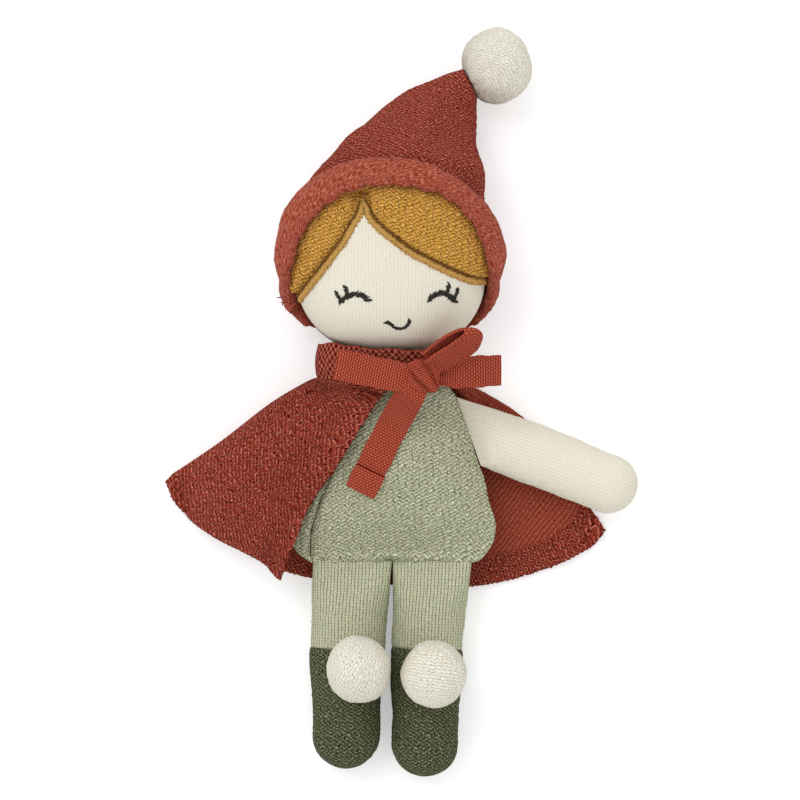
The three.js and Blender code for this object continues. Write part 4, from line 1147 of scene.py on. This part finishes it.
def build_cape():
    rows, columns = 116, 420
    middle = (COLLAR_LOW["front"] + COLLAR_LOW["back"]) / 2
    deep = (COLLAR_LOW["front"] - COLLAR_LOW["back"]) / 2 + 0.8
    out = np.linspace(0, 1, rows)
    o = out[:, None]
    lines = []
    for turn, _, places in SPOKES:
        a = math.radians(turn)
        neck_half = 23.2 if turn < 180 else 20.8
        neck_x = 1.0 if turn == SPOKES[0][0] else HEAD[0] - neck_half * math.sin(a)
        neck = [neck_x, COLLAR_LOW["top"] - GAP - 0.75, middle + deep * math.cos(a)]
        lines.append(spline([neck, *on_floor(CAPE_LENGTH * np.array(places))], out))
    lines = np.array(lines)
    n = np.linspace(0, len(SPOKES) - 1, columns)
    t = n / (len(SPOKES) - 1)
    front = np.clip(spline([(k, share) for k, (_, share, _) in enumerate(SPOKES)], t)[:, 1], 0, 1)
    grid = np.stack([spline(lines[:, i], t) for i in range(rows)])
    start = grid[0, :, 2].copy()
    grid[..., 0] += 0.4 * np.maximum(0, -73.0 - grid[..., 0])
    x, y = grid[..., 0], grid[..., 1]
    over = height_under_cape(x, y) + GAP + CAPE_THICK / 2 + cape_folds(n, o) + cape_creases(x, y) + 0.8
    gathers = 0.55 * np.sin(n * 7.5) * np.exp(-o / 0.12)
    flat = CAPE_THICK / 2 + 0.02
    ruffle = 1.3 * (0.5 + 0.5 * np.sin(n * 6 + 1)) * smooth((o - 0.75) / 0.25)
    ruffle += 0.5 * (0.5 + 0.5 * np.sin(n * 17 + 5 * o)) * smooth((o - 0.86) / 0.1)
    lying = mix(flat + ruffle * smooth((n - 9.3) / 1.2), over, front)
    free = mix(start, lying, smooth(o / 0.3))
    grid[..., 2] = np.where(front > 0.8, np.maximum(free, over), free) + gathers
    keep_above(grid, flat)
    hem = grid[-1].copy()
    arc = walked(hem)
    loops = 0.4 * np.abs(np.sin(arc * np.pi / 1.7)) + 0.12 * lumps(hem, 3.5, 95)
    grid[-2:] += unit(hem - grid[-5]) * loops[:, None]
    edge_loops = 0.4 * np.abs(np.sin(o * CAPE_LENGTH * np.pi / 1.6))
    grid[:, :2] += (unit(grid[:, 0] - grid[:, 4]) * edge_loops)[:, None]
    grid[..., 2] += 0.12 * lumps(grid, 1.1, 96)
    keep_above(grid, flat)
    angle = (arc / arc[-1] - 0.5) * np.pi
    radius = mix(15.0, CAPE_LENGTH, o)
    uv = xyz(radius * np.sin(angle), radius * np.cos(angle))
    upper = CAPE_THICK / 2 + 0.45 * smooth((o - 0.875) / 0.012)
    sides = [RUST_INSIDE, RUST_CAPE]
    obj = cloth("cape_knit", grid, uv, sides, upper, CAPE_THICK / 2, band_row=int(rows * 0.88))
    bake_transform(obj)
    piece(obj, None, ["cape"])


# Bow

TAPE_THICK = 0.9


def tape(name, line, side, node=None, width=10.0, cup=0.35, pinch=(1, 1), away=None):
    """A length of tape along a line; side is the way across it, one or one for each point. pinch narrows its
    two ends, and away, the way a loop reaches, lets its edges fall short of its middle."""
    count = max(12, int(length_of(line) / 0.42))
    side = unit(resample(side, count)) if np.ndim(side) > 1 else unit(side)[None]
    line = resample(line, count)
    w = np.linspace(-1, 1, 25)
    out = unit(np.cross(tangents(line), side))
    along = walked(line)
    narrow = mix(pinch[0], 1.0, smooth(along / 8)) * mix(pinch[1], 1.0, smooth((along[-1] - along) / 8))
    selvedge = 0.12 * np.abs(np.sin(along * np.pi / 1.68)) + 0.16 * lumps(line, 3.0, 92)
    half = (width / 2 * narrow + selvedge)[:, None, None]
    pleat = (1 - narrow)[:, None] * 3.2 * np.cos(w * 2.5 * np.pi)
    grid = line[:, None] + side[:, None] * w[:, None] * half
    grid = grid - out[:, None] * (cup * w**2 + pleat * 0.35)[..., None]
    if away is not None:
        reach = np.maximum((line - line[0]) @ away, 0)[:, None]
        grid = grid - away * (0.17 * reach * np.abs(w) ** 2.4)[..., None]
    uv = xyz(w * width / 2, along[:, None])
    half_thick = TAPE_THICK / 2 + 0.12 * bump(np.abs(w), 0.97, 0.07)
    obj = cloth(name, grid, uv, [TAPE], half_thick, half_thick)
    piece(obj, "torso", [node] if node else [])


def loop(name, start, away, across, length, height, node, flat, rounded=False):
    """A loop of tape that reaches away from the knot and comes back."""
    away = unit(away)
    across = unit(across - away * np.dot(across, away))
    first = 0.04
    t = np.linspace(first, 1 - first, 90)[:, None]
    out = length * (np.sin(np.pi * t) ** 0.8 - math.sin(math.pi * first) ** 0.8)
    lift = -height / 2 * np.cos(np.pi * t) * (0.4 + 0.6 * np.sin(np.pi * t))
    line = start + out * away + lift * np.cross(away, across)
    edges = away if rounded else None
    tape(name, line, across, node, cup=0.15, pinch=(0.88, 0.88), away=edges)


def build_bow():
    knot = KNOT + [0.5, -0.9, 0]
    lat = np.radians(np.linspace(-87, 87, 70))[:, None]
    turn = circle(96)
    full = np.cos(lat) ** 0.5
    x = 5.6 * full * signed_power(np.cos(turn), 0.7)
    y = 5.4 * signed_power(np.sin(lat), 0.8)
    across = 0.8 * x + 0.6 * y
    along = 0.8 * y - 0.6 * x
    crease = -1.9 * bump(across + 0.12 * along, -2.3, 0.55) - 1.7 * bump(across - 0.2 * along, 2.5, 0.5)
    crease += 0.5 * bump(across, 0, 1.8)
    crease -= 0.9 * bump(across + 0.3 * along, 0.3, 0.4) * smooth((along + 1) / 3)
    z = 3.4 * full * signed_power(np.sin(turn), 0.7) + crease * smooth(np.sin(turn) * 2)
    grid = knot + xyz(x, y, z)
    grid += unit(grid - knot) * (0.35 * lumps(grid, 3, 90))[..., None]
    ring = closed(grid)
    uv = xyz(ring[..., 0] + 0.4 * ring[..., 1], ring[..., 1] - 0.4 * ring[..., 0])
    obj = surface("bow_knot_wrap", grid, uv, [TAPE], wrap=True, caps=(True, True))
    piece(obj, "torso", ["bow_knot"])

    loop(
        "bow_loop_flat", knot + [-4.4, -1.2, 0], [-0.98, 0.2, -0.08], [0.2, 0.98, 0], 30.3, 3,
        "bow_loop_left", (0.01, 0.055),
    )
    loop(
        "bow_loop_open", knot + [1.9, 3.9, 1.6], [0.82, 0.52, 0.22], [-0.46, 0.42, 0.78], 24.5, 6.4,
        "bow_loop_right", (0.01, 0.045), rounded=True,
    )

    count = 90
    line = even(on_floor(KNOT[:2] + [[-1.2, -2.6], [-10.1, -18.2], [-20.5, -39.3]]), count)
    way = tangents(line)
    side = xyz(-way[:, 1], way[:, 0], 0)
    t = np.linspace(0, 1, count)
    lying = tunic_front(line[:, 0], line[:, 1]) + 1.05
    line[:, 2] = mix(KNOT[2] + 1.2, lying, smooth(t / 0.5))
    line[:, 2] += 1.8 * bump(t, 0.14, 0.07) + 0.5 * bump(t, 0.62, 0.12)
    tape("bow_tail_hanging", line, side, "bow_tail_left", pinch=(0.85, 1.0))
    hem_from = int(count * (1 - 8.6 / length_of(line)))
    tape("bow_tail_hem", line[hem_from:] + [0, 0, 1.05], side[hem_from:], width=10.2)

    line = spline(KNOT + [[4.2, -0.3, -2.3], [13.8, 0.2, -3.6], [26, 0.9, -5.6]], np.linspace(0, 1, 50))
    tape("bow_tail_side", line, [0, 1, 0], "bow_tail_right", pinch=(0.75, 1.0))


# Stage


def build_stage():
    scene = bpy.context.scene
    world = bpy.data.worlds.new("soft_world")
    scene.world = world
    world.use_nodes = True
    tree = world.node_tree
    background = tree.nodes["Background"]
    background.inputs["Color"].default_value = (1, 1, 1, 1)
    seen = tree.nodes.new("ShaderNodeLightPath")
    strength = tree.nodes.new("ShaderNodeMapRange")
    strength.inputs["To Min"].default_value = 0.9
    strength.inputs["To Max"].default_value = 1.0
    tree.links.new(seen.outputs["Is Camera Ray"], strength.inputs["Value"])
    tree.links.new(strength.outputs["Result"], background.inputs["Strength"])

    sun = bpy.data.lights.new("window_light", "SUN")
    sun.energy = 0.72
    sun.angle = math.radians(34)
    lamp = bpy.data.objects.new("window_light", sun)
    lamp.rotation_euler = (math.radians(-30), math.radians(-26), 0)
    scene.collection.objects.link(lamp)

    size = 4.0
    mesh = bpy.data.meshes.new("floor")
    corners = [(-size, -size, 0), (size, -size, 0), (size, size, 0), (-size, size, 0)]
    mesh.from_pydata(corners, [], [(0, 1, 2, 3)])
    floor = bpy.data.objects.new("floor", mesh)
    scene.collection.objects.link(floor)
    material = bpy.data.materials.new("pale_floor")
    material.use_nodes = True
    tree = material.node_tree
    tree.nodes.clear()
    diffuse = tree.nodes.new("ShaderNodeBsdfDiffuse")
    diffuse.inputs["Color"].default_value = (0.82, 0.82, 0.82, 1)
    glow = tree.nodes.new("ShaderNodeEmission")
    glow.inputs["Strength"].default_value = 0.38
    # Only the camera sees the glow, so it lights nothing.
    seen = tree.nodes.new("ShaderNodeLightPath")
    both = tree.nodes.new("ShaderNodeAddShader")
    choose = tree.nodes.new("ShaderNodeMixShader")
    output = tree.nodes.new("ShaderNodeOutputMaterial")
    tree.links.new(diffuse.outputs[0], both.inputs[0])
    tree.links.new(glow.outputs[0], both.inputs[1])
    tree.links.new(seen.outputs["Is Camera Ray"], choose.inputs[0])
    tree.links.new(diffuse.outputs[0], choose.inputs[1])
    tree.links.new(both.outputs[0], choose.inputs[2])
    tree.links.new(choose.outputs[0], output.inputs["Surface"])
    mesh.materials.append(material)


def build_camera():
    """The photograph's view, from straight above: 800 pixels cover 800 * PIXEL millimetres."""
    distance = 2.0
    data = bpy.data.cameras.new("camera")
    data.sensor_width = 36
    data.lens = 36 * distance / (PIXEL * 0.8)
    camera = bpy.data.objects.new("camera", data)
    camera.location = metres([2.65, 0, 20]) + [0, 0, distance]
    bpy.context.scene.collection.objects.link(camera)
    bpy.context.scene.camera = camera
    bpy.context.scene.view_settings.view_transform = "Standard"


# The hat's pompom lies on the floor beyond the cone's tip, a little further out than its solid.
TO_TIP = np.array([-TIP_ACROSS[1], TIP_ACROSS[0], 0])
HAT_BALL = (TIP + TO_TIP * (math.sqrt(12**2 - TIP_HALF**2) + GAP)) * [1, 1, 0] + [-1.0, 1.0, 11.5]

build_camera()
build_stage()
build_tunic()
build_head()
build_hair()
build_face()
build_brim()
build_hat()
build_pompom("hat_pompom", "hat_tip", HAT_BALL, -TO_TIP, 12, 101, shape=(1, 1.06, 1))
build_pompom("boot_left_pompom", "left_leg", (-10.9, BOOT_TOP_Y - 6.2, 28.02), (0, 0, -1), 11, 103)
build_pompom("boot_right_pompom", "right_leg", (13.8, BOOT_TOP_Y - 7.6, 28.02), (0, 0, -1), 11, 105)
build_arms()
build_legs()
build_collar()
build_cape()
build_bow()
